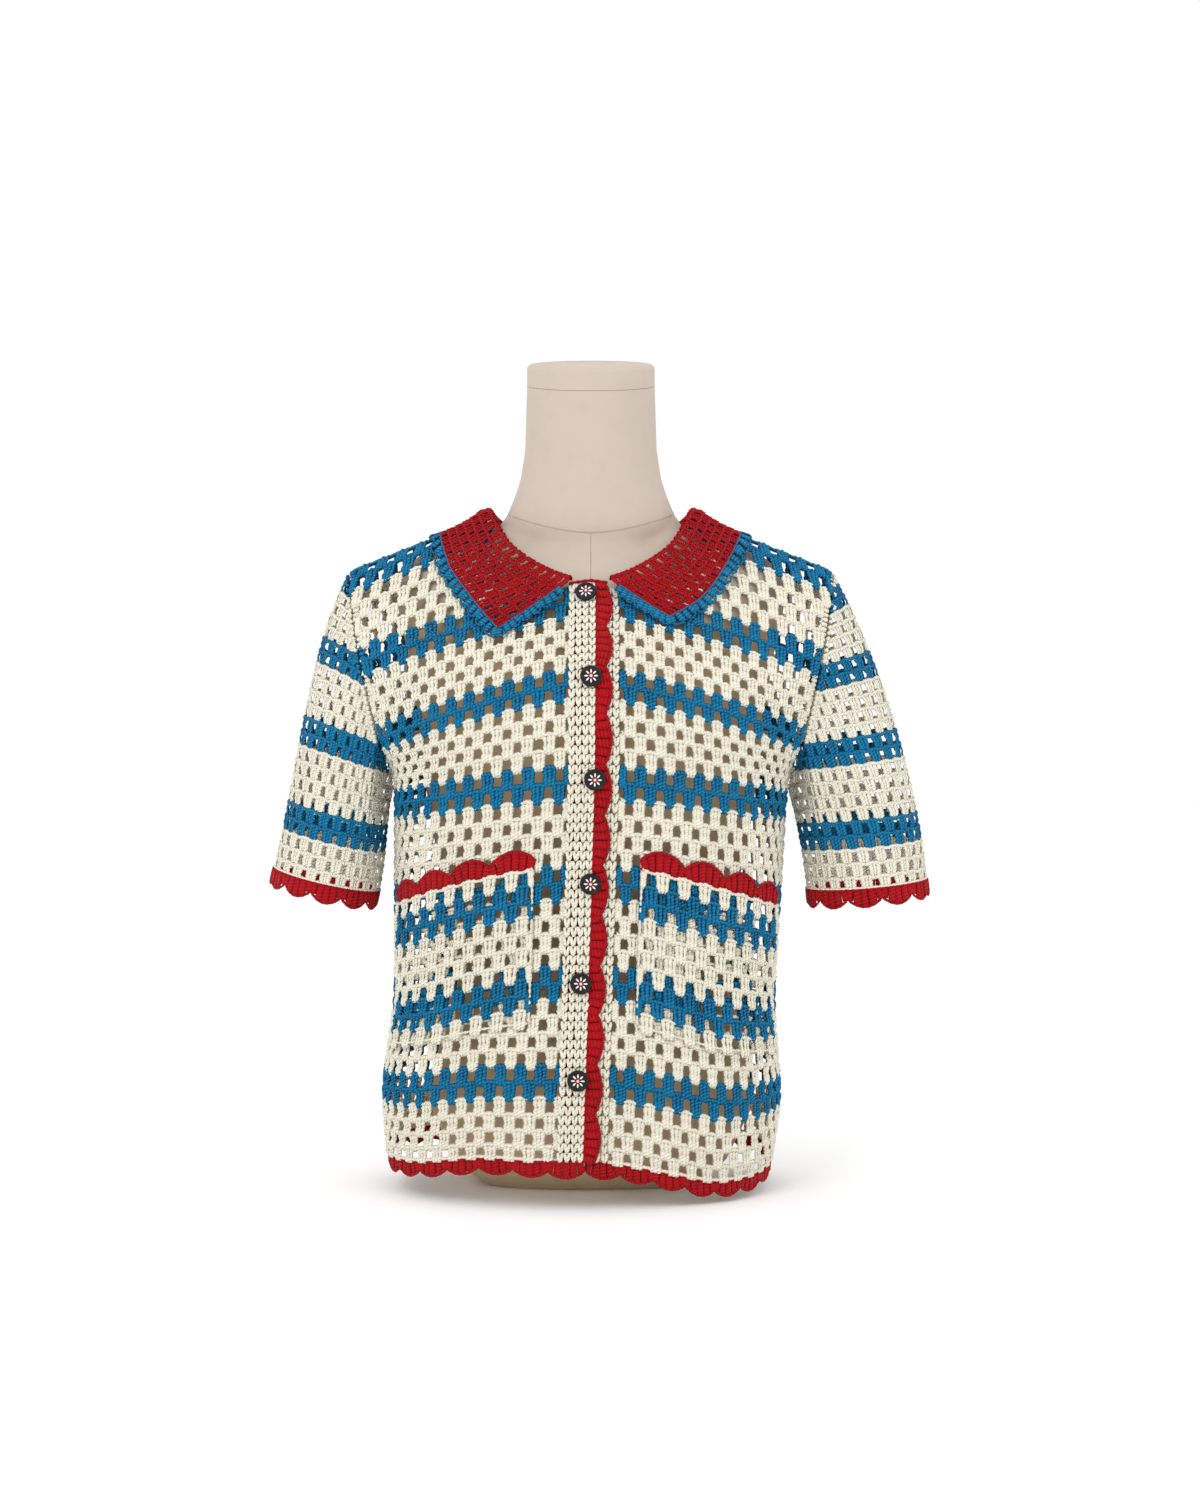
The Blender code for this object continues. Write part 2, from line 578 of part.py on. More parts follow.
def collar_edging():
    """Scalloped edging round the collar's outer edge and both its front ends."""
    angles, sides = collar_stations(96)
    inner, outer = collar_lines(angles, sides)
    spread = np.linspace(COLLAR_END_START, 1, 12)[:, None]
    right_end = inner[0] + (outer[0] - inner[0]) * spread
    left_end = inner[-1] + (outer[-1] - inner[-1]) * spread
    legs = []
    counts = (COLLAR_END_SCALLOPS, COLLAR_SCALLOPS, COLLAR_END_SCALLOPS)
    for leg, count in zip((right_end, outer, left_end[::-1]), counts):
        flat_leg = resample(leg * [1.0, ROW_HEIGHT], count * 4)
        legs.append(flat_leg if not legs else flat_leg[1:])
    line = np.concatenate(legs)
    ahead = np.diff(line, axis=0)
    ahead /= np.linalg.norm(ahead, axis=1, keepdims=True)
    side = np.stack([-ahead[:, 1], ahead[:, 0]], axis=1)
    before = np.concatenate([side[:1], side])
    after = np.concatenate([side, side[-1:]])
    outward = (before + after) / (1 + np.sum(before * after, axis=1, keepdims=True))
    middle = np.array([0.0, SHOULDER_ROW * ROW_HEIGHT])
    outward *= np.sign(np.sum((line[len(line) // 2] - middle) * outward[len(line) // 2]))
    share = np.linspace(0, 1, len(line))
    depth = COLLAR_EDGING_DEPTH * (0.5 + 0.5 * lobes(share, sum(counts)))
    root = line + outward * COLLAR_EDGING_SEAM
    tip = root + outward * depth[:, None]
    spreads = [fold.spread for fold in COLLAR_FOLD[2:]]
    lifts = [fold.lift for fold in COLLAR_FOLD[2:]]
    end_lift = np.interp(np.linspace(COLLAR_END_START, 1, counts[0] * 4 + 1), spreads, lifts)
    lift = np.concatenate([end_lift[:-1], np.full(counts[1] * 4 + 1, lifts[-1]), end_lift[-2::-1]])
    grid = [MESH_BODY.at(edge[:, 0], edge[:, 1] / ROW_HEIGHT, lift) for edge in (root, tip)]
    return cloth("collar_edging", np.stack(grid, axis=0), BLUE, EDGING_WALL, flip=True)


def sleeve_surface(sleeve, around, along):
    """Points of a sleeve: around 0 to 1 from the underarm by the front, along 0 to 1 down it."""
    side = sleeve.side
    rows = UNDERARM_ROW + (BACK_UNDERARM_ROW - UNDERARM_ROW) * around
    armhole = MESH_BODY.at(side * MESH_BODY.reach(side, rows), rows)
    angle = 2 * pi * around
    top = (1 - np.cos(angle)) / 2
    armhole[..., 0] += side * (UNDERARM_SETBACK + (SHOULDER_SETBACK - UNDERARM_SETBACK) * top)
    out = np.array([side * (1 - sleeve.tilt**2) ** 0.5, 0.0, sleeve.tilt])
    front = np.array([0.0, -1.0, 0.0])
    centre = np.array(sleeve.centre)
    cuff = centre - np.cos(angle)[..., None] * out * sleeve.half_width
    cuff = cuff + np.sin(angle)[..., None] * front * sleeve.half_depth
    down = np.array([side * sleeve.tilt, -0.05, -(1 - sleeve.tilt**2) ** 0.5])
    lean_out = (0.16 + 0.24 * top**2)[..., None] * np.array([side, 0.0, 0.0])
    leave = lean_out + np.array([0.0, 0.0, -1.0]) * (0.95 - 0.25 * top)[..., None]
    span = np.linalg.norm(cuff - armhole, axis=-1, keepdims=True)
    t = np.asarray(along)[..., None]
    start = armhole * (1 + 2 * t) * (1 - t) ** 2 + leave * span * t * (1 - t) ** 2
    end = cuff * t**2 * (3 - 2 * t) + down * span * t**2 * (t - 1)
    return start + end


def sleeve_cloth(name, sleeve):
    """Sleeve: a tube from the armhole to the cuff line."""
    around = np.linspace(0, 1, 25)[:-1]
    along = np.linspace(0, 1, 10)
    grid = np.meshgrid(along, around, indexing="ij")
    points = sleeve_surface(sleeve, grid[1], grid[0])
    return cloth(name, points, CREAM, closed=True, flip=sleeve.side > 0)


def cuff_edging(name, sleeve):
    """Scalloped ring below the cuff line, going on down the sleeve."""
    around = np.linspace(0, 1, CUFF_SCALLOPS * 4 + 1)[:-1]
    line = sleeve_surface(sleeve, around, np.ones_like(around))
    before = sleeve_surface(sleeve, around, np.full_like(around, 0.96))
    down = line - before
    down /= np.linalg.norm(down, axis=1, keepdims=True)
    depth = CUFF_EDGING_DEPTH * (0.5 + 0.5 * lobes(around, CUFF_SCALLOPS))
    root = line + down * SEAM_GAP
    points = np.stack([root, root + down * depth[:, None]], axis=0)
    return cloth(name, points, RED, EDGING_WALL, closed=True, flip=sleeve.side > 0)


def button(name, place):
    """Domed button with a raised rim, turned about its own axis and laid on the top band."""
    radius = BUTTON_DIAMETER / 2
    profile = (
        (0.0, 0.0035),
        (radius * 0.45, 0.0032),
        (radius * 0.74, 0.0022),
        (radius * 0.86, 0.0036),
        (radius * 0.97, 0.0030),
        (radius, 0.0018),
        (radius * 0.90, 0.0),
        (0.0, 0.0),
    )
    mesh = bpy.data.meshes.new(name)
    steps = range(len(profile) - 1)
    mesh.from_pydata([(x, 0.0, z) for x, z in profile], [(k, k + 1) for k in steps], [])
    obj = add_object(name, mesh, BLACK)
    turn = obj.modifiers.new("turn", "SCREW")
    turn.steps = turn.render_steps = 14
    turn.use_merge_vertices = True
    turn.merge_threshold = 0.0001
    turn.use_normal_calculate = True
    low = LAYER + WALL / 2 + SEAM_GAP * 2
    seat = MESH_BODY.at(place.across, place.row, low)
    normal = MESH_BODY.at(place.across, place.row, low + 0.01) - seat
    obj.location = Vector(seat)
    obj.rotation_euler = Vector(normal).to_track_quat("Z", "Y").to_euler()
    return obj


def form_radius(section, angle, power):
    """Distance from the form's axis to its side at an angle; a power over 2 squares the section."""
    depth = np.where(np.sin(angle) < 0, section.front, section.back)
    sides = np.abs(np.cos(angle) / section.half_width) ** power
    ends = np.abs(np.sin(angle) / depth) ** power
    return (sides + ends) ** (-1 / power)


def mantle_tree():
    """Search tree of the mantle, carried on across the neck hole, less the form's clearance."""
    points = MESH_BODY.points - MESH_BODY.normals * MANTLE_CLEARANCE
    lines, columns = points.shape[:2]
    index = np.arange(lines * columns).reshape(lines, columns)
    corners = (index[:-1, :-1], index[:-1, 1:], index[1:, 1:], index[1:, :-1])
    faces = np.stack([corner.ravel() for corner in corners], axis=1)
    return BVHTree.FromPolygons(points.reshape(-1, 3).tolist(), faces.tolist())


def table_radius(table, height, around, power):
    """Radius of a table's section at a height, at each angle round the form's axis."""
    sizes = smooth_table(table, "height", ("half_width", "front", "back"), [height])
    return form_radius(FormSection(height, *(size[0] for size in sizes)), around, power)


def form_rings(levels, around, panels):
    """Rings of the form: the torso kept inside the cloth, and the neck standing out of it."""
    bpy.context.view_layer.update()
    graph = bpy.context.evaluated_depsgraph_get()
    limits = [(BVHTree.FromObject(panel, graph), FORM_CLEARANCE) for panel in panels]
    limits.append((mantle_tree(), 0.0))
    rings = []
    for height in levels:
        neck = table_radius(NECK, height, around, 2.0)
        radius = table_radius(FORM, height, around, ROUNDNESS if height < NECK_BASE else 2.0)
        axis = Vector((0.0, 0.0, height))
        for place, angle in enumerate(around):
            way = Vector((np.cos(angle), np.sin(angle), 0.0))
            for tree, clearance in limits:
                hit = tree.ray_cast(axis, way)[0]
                if hit is not None:
                    radius[place] = min(radius[place], (hit - axis).length - clearance)
        radius = np.maximum(radius, neck)
        ring = np.stack([radius * np.cos(around), radius * np.sin(around)], axis=1)
        rings.append(np.column_stack([ring, np.full(len(around), height)]))
    return rings


def cap_ring(around, height, radius=CAP_RADIUS):
    """Ring across the neck, tilted forward as the neck's cap is."""
    slope = np.tan(np.radians(CAP_TILT_DEGREES))
    x, y = radius * np.cos(around), radius * np.sin(around)
    return np.stack([x, y, height + slope * y], axis=1)


def closed_loft(name, rings, look):
    """Solid through rings of equal count, capped at both ends."""
    count = len(rings[0])
    points = np.concatenate(rings)
    mesh = grid_mesh(name, points.reshape(len(rings), count, 3), closed=True)
    solid = bmesh.new()
    solid.from_mesh(mesh)
    bmesh.ops.holes_fill(solid, edges=[edge for edge in solid.edges if edge.is_boundary])
    bmesh.ops.recalc_face_normals(solid, faces=solid.faces)
    solid.to_mesh(mesh)
    solid.free()
    return add_object(name, mesh, look)


def dress_form(panels):
    """Form: torso and neck in one, and the cap on the neck."""
    around = np.linspace(0, 2 * pi, 41)[:-1]
    rings = form_rings([section.height for section in FORM], around, panels)
    rings.append(cap_ring(around, CAP_SEAM_HEIGHT))
    closed_loft("dress_form_body", rings, LINEN)
    base = CAP_SEAM_HEIGHT + SEAM_GAP
    cap = [
        cap_ring(around, base),
        cap_ring(around, base + CAP_THICKNESS - CAP_BEVEL),
        cap_ring(around, base + CAP_THICKNESS, CAP_RADIUS - CAP_BEVEL),
    ]
    closed_loft("dress_form_cap", cap, LINEN)


def flat(across):
    """No lift: the edging lies in the cloth's own surface."""
    return np.zeros_like(across)


def stepped(across):
    """Lift of the top front's hem edging: over the under band, then down to the cloth."""
    return LAYER * np.clip((across + 0.042) / 0.024, 0, 1)


def build():
    """All pieces of the cardigan, and the form."""
    panels = [
        front_panel("front_right", -1, RIGHT_PANEL_START),
        front_panel("front_left", 1, LEFT_PANEL_START),
        back_panel(),
    ]
    dress_form(panels)
    for name, sleeve in SLEEVES.items():
        sleeve_cloth("sleeve_" + name, sleeve)
        cuff_edging("cuff_edging_" + name, sleeve)
    collar()
    collar_edging()
    button_band("button_band_right", TOP_BAND, LAYER)
    button_band("button_band_left", UNDER_BAND, 0.0)
    front_edging("front_edging_right", TOP_EDGING[0], TOP_EDGING[1], LAYER)
    front_edging("front_edging_left", UNDER_EDGING[1], UNDER_EDGING[0], UNDER_EDGING_LIFT)
    for name, side, start in (("right", -1, RIGHT_PANEL_START), ("left", 1, LEFT_PANEL_START)):
        patch_pocket("pocket_" + name, side, start)
        pocket_edging("pocket_edging_" + name, side, start)
    lowest = MANTLE[0].row
    reach_right = MESH_BODY.reach(-1, lowest) - BENT_SEAM_GAP
    reach_left = MESH_BODY.reach(1, lowest) - BENT_SEAM_GAP
    hem_edging("hem_edging_right", TOP_EDGING[1] - 0.002, -reach_right, stepped)
    hem_edging("hem_edging_left", UNDER_EDGING[0] + 0.001, reach_left, flat)
    hem_edging("hem_edging_back", -reach_right, reach_left, flat, back=True)
    for count, place in enumerate(BUTTONS, start=1):
        button(f"button_{count}", place)


PARTS = start_scene()
MESH_BODY = Mantle()
build()
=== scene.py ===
"""Looks of the short-sleeved crochet cardigan and the dress form that it is shown on.

Every piece is worked out on the same curved cloth surface as the solids: a place is a distance
across from the centre front and a number of crochet rows up from the hem. On it the yarn is laid
as flattened tubes, so the holes between the clusters are real.
"""

from __future__ import annotations

import json
import logging
import math
from dataclasses import dataclass, field
from enum import Enum

import bpy
import numpy as np
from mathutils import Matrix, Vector
from mathutils.bvhtree import BVHTree

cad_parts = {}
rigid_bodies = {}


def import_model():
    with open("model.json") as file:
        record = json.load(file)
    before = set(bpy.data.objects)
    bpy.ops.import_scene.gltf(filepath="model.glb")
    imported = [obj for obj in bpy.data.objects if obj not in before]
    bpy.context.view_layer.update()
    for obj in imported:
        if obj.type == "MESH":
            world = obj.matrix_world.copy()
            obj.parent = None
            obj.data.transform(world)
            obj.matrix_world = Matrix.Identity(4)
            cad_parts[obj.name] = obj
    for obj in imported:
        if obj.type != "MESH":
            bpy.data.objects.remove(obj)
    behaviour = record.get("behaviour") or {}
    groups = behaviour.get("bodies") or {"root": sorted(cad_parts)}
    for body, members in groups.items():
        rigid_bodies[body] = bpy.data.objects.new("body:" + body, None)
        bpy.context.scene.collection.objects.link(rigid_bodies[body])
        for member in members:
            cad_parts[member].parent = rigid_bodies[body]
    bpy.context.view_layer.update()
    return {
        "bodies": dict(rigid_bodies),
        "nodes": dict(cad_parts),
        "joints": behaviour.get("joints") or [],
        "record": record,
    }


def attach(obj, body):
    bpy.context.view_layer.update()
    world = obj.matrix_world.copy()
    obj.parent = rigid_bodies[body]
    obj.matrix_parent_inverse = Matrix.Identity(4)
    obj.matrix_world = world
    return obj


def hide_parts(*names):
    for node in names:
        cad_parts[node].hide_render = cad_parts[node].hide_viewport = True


LOG = logging.getLogger("cardigan")
Array = np.ndarray
Colour = tuple[float, float, float]
Socket = bpy.types.NodeSocket

# Cloth, in metres, as in the solids
ROW_HEIGHT = 0.0137
UNDERARM_ROW, SHOULDER_ROW, BACK_UNDERARM_ROW, BACK_HEM_ROW = 24.0, 42.0, 60.0, 84.0
BAND_TOP_ROW = 36.0
PITCH = 0.0167
WORKED_IN = 0.0018
LAYER = 0.0034
POCKET_LIFT = 0.0036
ROUNDNESS = 2.3
LEAN = -0.0100

NECK_HALF_WIDTH, NECK_MARGIN = 0.095, 0.0035
FRONT_NECK_POWER, BACK_NECK_POWER = 1.40, 2.0
FRONT_NECK_ROWS, BACK_NECK_ROWS = 6.3, 4.8
ARMHOLE_MARGIN = 0.0016

# Rings of a joining stitch: share of its way out to the seam, and share of its half width
JOIN_RINGS = np.array([0.0, 0.35, 0.70, 1.0])
JOIN_WIDTH = np.array([0.70, 1.05, 1.0, 0.75])

# The chain that closes a hem or a cuff, in rows from the edge
LINE_ROW = 0.12

TOP_BAND = (-0.0180, 0.0042)
UNDER_BAND = (-0.0060, 0.0240)
TOP_EDGING = (0.0046, 0.0175)
UNDER_EDGING = (-0.0064, -0.0160)
UNDER_EDGING_LIFT = -0.0007
PANEL_START = {-1: 0.0165, 1: 0.0243}

# row, half width, y at the centre and at the edge, z at the centre and at the edge, turn in degrees
MANTLE = np.array([
    (-1.5, 0.1640, -0.1170, 0.0, 0.0205, 0.0090, 90),
    (0.0, 0.1660, -0.1190, 0.0, 0.0410, 0.0290, 90),
    (4.0, 0.1705, -0.1230, 0.0, 0.0960, 0.0770, 90),
    (11.0, 0.1630, -0.1200, 0.0, 0.1910, 0.1700, 90),
    (17.0, 0.1650, -0.1240, 0.0, 0.2740, 0.2520, 90),
    (24.0, 0.1680, -0.1350, 0.0, 0.3710, 0.3450, 90),
    (29.0, 0.1790, -0.1300, -0.0500, 0.4390, 0.3900, 62),
    (35.0, 0.1950, -0.0860, -0.0470, 0.5060, 0.4550, 45),
    (39.0, 0.2040, -0.0420, -0.0270, 0.5620, 0.5030, 25),
    (42.0, 0.2080, 0.0000, 0.0000, 0.6120, 0.5300, 8),
    (45.0, 0.2040, 0.0480, 0.0280, 0.5900, 0.5030, 25),
    (49.0, 0.1950, 0.0900, 0.0480, 0.5340, 0.4550, 45),
    (55.0, 0.1790, 0.1130, 0.0510, 0.4560, 0.3900, 62),
    (60.0, 0.1680, 0.1140, 0.0, 0.3880, 0.3450, 90),
    (67.0, 0.1650, 0.1080, 0.0, 0.2920, 0.2520, 90),
    (73.0, 0.1630, 0.1050, 0.0, 0.2090, 0.1700, 90),
    (80.0, 0.1705, 0.1120, 0.0, 0.1000, 0.0770, 90),
    (84.0, 0.1660, 0.1120, 0.0, 0.0420, 0.0290, 90),
    (85.5, 0.1640, 0.1110, 0.0, 0.0215, 0.0090, 90),
])

# Share of the way to the side seam, rise of the wearer's right hem, rise of the left
HEM_WAVE = np.array([
    (0.00, -0.001, -0.001),
    (0.10, 0.000, -0.003),
    (0.30, 0.004, -0.011),
    (0.45, 0.002, -0.016),
    (0.60, 0.000, -0.014),
    (0.85, 0.001, -0.006),
    (1.00, 0.010, 0.000),
])

# Degrees round the neck from the centre front, distance across, row
COLLAR_OUTLINES = {
    -1: np.array([
        (16, 0.0780, 34.0),
        (35, 0.1030, 36.7),
        (62, 0.1250, 39.3),
        (90, 0.1390, 42.0),
        (120, 0.1240, 46.2),
        (150, 0.0780, 49.7),
        (180, 0.0001, 50.8),
    ]),
    1: np.array([
        (16, 0.0660, 34.6),
        (35, 0.0950, 36.5),
        (62, 0.1190, 39.2),
        (90, 0.1380, 42.0),
        (120, 0.1240, 46.2),
        (150, 0.0780, 49.7),
        (180, 0.0001, 50.8),
    ]),
}

# Length up the collar's cloth from its seam, share of the leaf, inset, lift
COLLAR_FOLD = np.array([
    (0.0000, 0.00, 0.0045, 0.0020),
    (0.0033, 0.00, 0.0055, 0.0052),
    (0.0063, 0.02, 0.0050, 0.0080),
    (0.0123, 0.08, 0.0000, 0.0092),
    (0.0233, 0.28, 0.0000, 0.0066),
    (0.0413, 0.60, 0.0000, 0.0046),
    (0.0633, 1.00, 0.0000, 0.0040),
])

# Share along the pocket, bottom row, top row
POCKET = np.array([(0.0, 8.5, 18.0), (0.5, 8.0, 17.4), (1.0, 7.7, 16.6)])
POCKET_START, POCKET_WIDTH = 0.0430, 0.1450

# Row and distance across of each button's centre
BUTTONS = (
    (5.0, -0.0025),
    (10.9, -0.0025),
    (16.9, 0.0030),
    (23.1, 0.0040),
    (29.2, 0.0005),
    (35.2, -0.0035),
)
BUTTON_DIAMETER = 0.0180


class Yarn(Enum):
    """The yarns, by their place in a piece's list of materials."""

    CREAM = 0
    BLUE = 1
    RED = 2


class Recipe:
    """A material under way: its shader, and the nodes that feed it."""

    def __init__(self, name: str, colour: Colour, roughness: float) -> None:
        """Starts the material from its shader.

        Args:
            name: The material's name.
            colour: Linear base colour.
            roughness: Roughness of the surface.
        """
        self.material = bpy.data.materials.new(name)
        self.material.use_nodes = True
        self.tree = self.material.node_tree
        self.shader = self.tree.nodes["Principled BSDF"]
        self.feed(self.shader, {"Base Color": colour, "Roughness": roughness})

    def feed(
        self, node: bpy.types.Node, inputs: dict[str | int, float | Colour | Socket]
    ) -> bpy.types.Node:
        """Sets inputs of a node to numbers or colours, or links sockets to them.

        Args:
            node: The node.
            inputs: What each input gets, by its name or its number.

        Returns:
            The same node.
        """
        for name, value in inputs.items():
            if isinstance(value, bpy.types.NodeSocket):
                self.tree.links.new(value, node.inputs[name])
            elif isinstance(value, tuple):
                node.inputs[name].default_value = (*value, 1.0)
            else:
                node.inputs[name].default_value = value
        return node

    def at(self, kind: str) -> Socket:
        """Coordinates of a kind, such as Object or UV."""
        return self.tree.nodes.new("ShaderNodeTexCoord").outputs[kind]

    def part(self, kind: str, axis: str) -> Socket:
        """One axis of a kind of coordinates."""
        node = self.tree.nodes.new("ShaderNodeSeparateXYZ")
        return self.feed(node, {0: self.at(kind)}).outputs[axis]

    def maths(self, operation: str, *inputs: float | Socket) -> Socket:
        """Adds one maths node.

        Args:
            operation: Name of the operation.
            inputs: Numbers or sockets.

        Returns:
            The node's result.
        """
        node = self.tree.nodes.new("ShaderNodeMath")
        node.operation = operation
        return self.feed(node, dict(enumerate(inputs))).outputs[0]

    def noise(self, scale: float, detail: float = 2.0) -> Socket:
        """Adds noise by place on the object.

        Args:
            scale: Its scale.
            detail: Its octaves.

        Returns:
            The noise, 0 to 1.
        """
        node = self.tree.nodes.new("ShaderNodeTexNoise")
        inputs = {"Vector": self.at("Object"), "Scale": scale, "Detail": detail}
        return self.feed(node, inputs).outputs["Fac"]

    def bands(self, kind: str, direction: str, scale: float, bend: float, detail: float) -> Socket:
        """Adds bands of waves.

        Args:
            kind: Kind of coordinates that they are read by.
            direction: Direction across the bands.
            scale: Their scale.
            bend: Strength of their distortion.
            detail: Scale of their distortion.

        Returns:
            The waves, 0 to 1.
        """
        node = self.tree.nodes.new("ShaderNodeTexWave")
        node.bands_direction = direction
        inputs = {"Scale": scale, "Distortion": bend, "Detail Scale": detail}
        return self.feed(node, {"Vector": self.at(kind), **inputs}).outputs["Fac"]

    def mix(
        self, factor: Socket, first: Colour | Socket, second: Colour, way: str = "MIX"
    ) -> Socket:
        """Adds a mix of two colours; the factor is held within 0 to 1.

        Args:
            factor: Share of the second colour.
            first: First colour.
            second: Second colour.
            way: How the two are mixed.

        Returns:
            The mixed colour.
        """
        node = self.tree.nodes.new("ShaderNodeMix")
        node.data_type = "RGBA"
        node.blend_type = way
        return self.feed(node, {"Factor": factor, "A": first, "B": second}).outputs["Result"]

    def bump(
        self, height: Socket, strength: float, distance: float, under: Socket | None = None
    ) -> Socket:
        """Adds relief.

        Args:
            height: Height of the relief, 0 to 1.
            strength: Its strength.
            distance: Its depth in metres.
            under: Relief that it lies on.

        Returns:
            The normal.
        """
        inputs = {"Height": height, "Strength": strength, "Distance": distance}
        if under is not None:
            inputs["Normal"] = under
        return self.feed(self.tree.nodes.new("ShaderNodeBump"), inputs).outputs["Normal"]


@dataclass(frozen=True)
class YarnFinish:
    """Matt plied yarn: a base colour, and painted shade, a darker tone, in the grooves between the
    plies and down the flanks.
    """

    name: str
    colour: Colour
    # The darker tone, painted in as shade between the plies and down the flanks
    shade: Colour
    # ply_depth and crease: strength of the painted shade between the plies and down the flanks
    ply_depth: float = 0.42
    crease: float = 0.30
    roughness: float = 0.85
    sheen: float = 0.03
    plies: float = 1.7
    fuzz_scale: float = 900.0
    mottle_scale: float = 26.0

    def make(self) -> bpy.types.Material:
        """Builds the material: plies wound by the tube's own UV map, fuzz and mottling by place.

        The share of the darker tone, painted shade, is 2 * ply_depth * mottling * (1 - plies) in
        the grooves between the plies, plus crease * (1 - |sin(turn)|) down the flanks, where
        neighbouring tubes would shade them.

        Returns:
            The finished node material.
        """
        recipe = Recipe(self.name, self.colour, self.roughness)
        plies = recipe.bands("UV", "DIAGONAL", self.plies / 2, bend=1.2, detail=1.5)
        # Painted shade in the grooves between the plies, varied at random by the mottling
        between = recipe.maths("SUBTRACT", 1.0, plies)
        ply_shade = recipe.maths("MULTIPLY", between, 2 * self.ply_depth)
        ply_shade = recipe.maths("MULTIPLY", ply_shade, recipe.noise(self.mottle_scale, detail=3.0))
        # Painted shade down each tube's flanks, where neighbouring tubes meet it, and none on its
        # crown
        turn = recipe.maths("MULTIPLY", recipe.part("UV", "X"), 2 * math.pi)
        crown = recipe.maths("ABSOLUTE", recipe.maths("SINE", turn))
        flank = recipe.maths("MULTIPLY", recipe.maths("SUBTRACT", 1.0, crown), self.crease)
        ridges = recipe.bump(plies, strength=0.85, distance=0.0011)
        fuzz = recipe.noise(self.fuzz_scale)
        recipe.feed(recipe.shader, {
            "Base Color": recipe.mix(recipe.maths("ADD", ply_shade, flank), self.colour, self.shade),
            "Normal": recipe.bump(fuzz, strength=0.30, distance=0.0004, under=ridges),
            "Sheen Weight": self.sheen,
            "Sheen Roughness": 0.5,
            "Specular IOR Level": 0.18,
        })
        return recipe.material


@dataclass(frozen=True)
class LinenFinish:
    """Plain-woven beige linen, stretched over the form."""

    name: str = "form_linen"
    colour: Colour = (0.540, 0.460, 0.385)
    shade: Colour = (0.485, 0.410, 0.340)
    roughness: float = 0.9
    threads: float = 400.0
    slub_scale: float = 60.0
    contrast: float = 2.2
    covered_height: float = 0.512
    covered_slope: float = 40.0
    # Painted warm bounce light from the cream yarn, for the linen below covered_height
    painted_bounce_tint: Colour = (1.15, 1.03, 0.78)

    def make(self) -> bpy.types.Material:
        """Builds the weave from two crossed patterns of bands and a slow mottling.

        Below covered_height the tone is multiplied by painted_bounce_tint, which is yellower and a
        little lighter: painted warm light bounced off the cream yarn onto the linen under the
        cardigan.

        Returns:
            The finished node material.
        """
        recipe = Recipe(self.name, self.colour, self.roughness)
        warp = recipe.bands("Object", "X", self.threads, bend=0.8, detail=2.0)
        weft = recipe.bands("Object", "Z", self.threads, bend=0.8, detail=2.0)
        weave = recipe.maths("MAXIMUM", warp, weft)
        mottled = recipe.maths("MULTIPLY", weave, recipe.noise(self.slub_scale, detail=4.0))
        strong = recipe.maths("MULTIPLY", mottled, self.contrast)
        tone = recipe.mix(strong, self.shade, self.colour)
        # Painted bounce light: below covered_height the weave's tone is multiplied by the lighter,
        # yellower tint
        below = recipe.maths("SUBTRACT", self.covered_height, recipe.part("Object", "Z"))
        covered = recipe.maths("MULTIPLY", below, self.covered_slope)
        recipe.feed(recipe.shader, {
            "Base Color": recipe.mix(covered, tone, self.painted_bounce_tint, "MULTIPLY"),
            "Normal": recipe.bump(weave, strength=0.25, distance=0.0003),
            "Sheen Weight": 0.1,
            "Specular IOR Level": 0.2,
        })
        return recipe.material


@dataclass(frozen=True)
class GlossFinish:
    """Moulded and painted button plastic, with faint wear in its gloss."""

    name: str
    colour: Colour
    roughness: float = 0.22
    wear_scale: float = 700.0
    wear: tuple[float, float] = (0.7, 1.6)

    def make(self) -> bpy.types.Material:
        """Builds the plastic, its roughness varied a little by place.

        Returns:
            The finished node material.
        """
        recipe = Recipe(self.name, self.colour, self.roughness)
        span = recipe.feed(recipe.tree.nodes.new("ShaderNodeMapRange"), {
            "Value": recipe.noise(self.wear_scale),
            "To Min": self.roughness * self.wear[0],
            "To Max": self.roughness * self.wear[1],
        })
        gloss = {"Specular IOR Level": 0.22, "Roughness": span.outputs["Result"]}
        recipe.feed(recipe.shader, gloss)
        return recipe.material


def add_object(name: str, data: bpy.types.ID) -> bpy.types.Object:
    """Adds an object to the scene.

    Args:
        name: The object's name.
        data: Its mesh, light or camera.

    Returns:
        The new object.
    """
    obj = bpy.data.objects.new(name, data)
    bpy.context.scene.collection.objects.link(obj)
    return obj


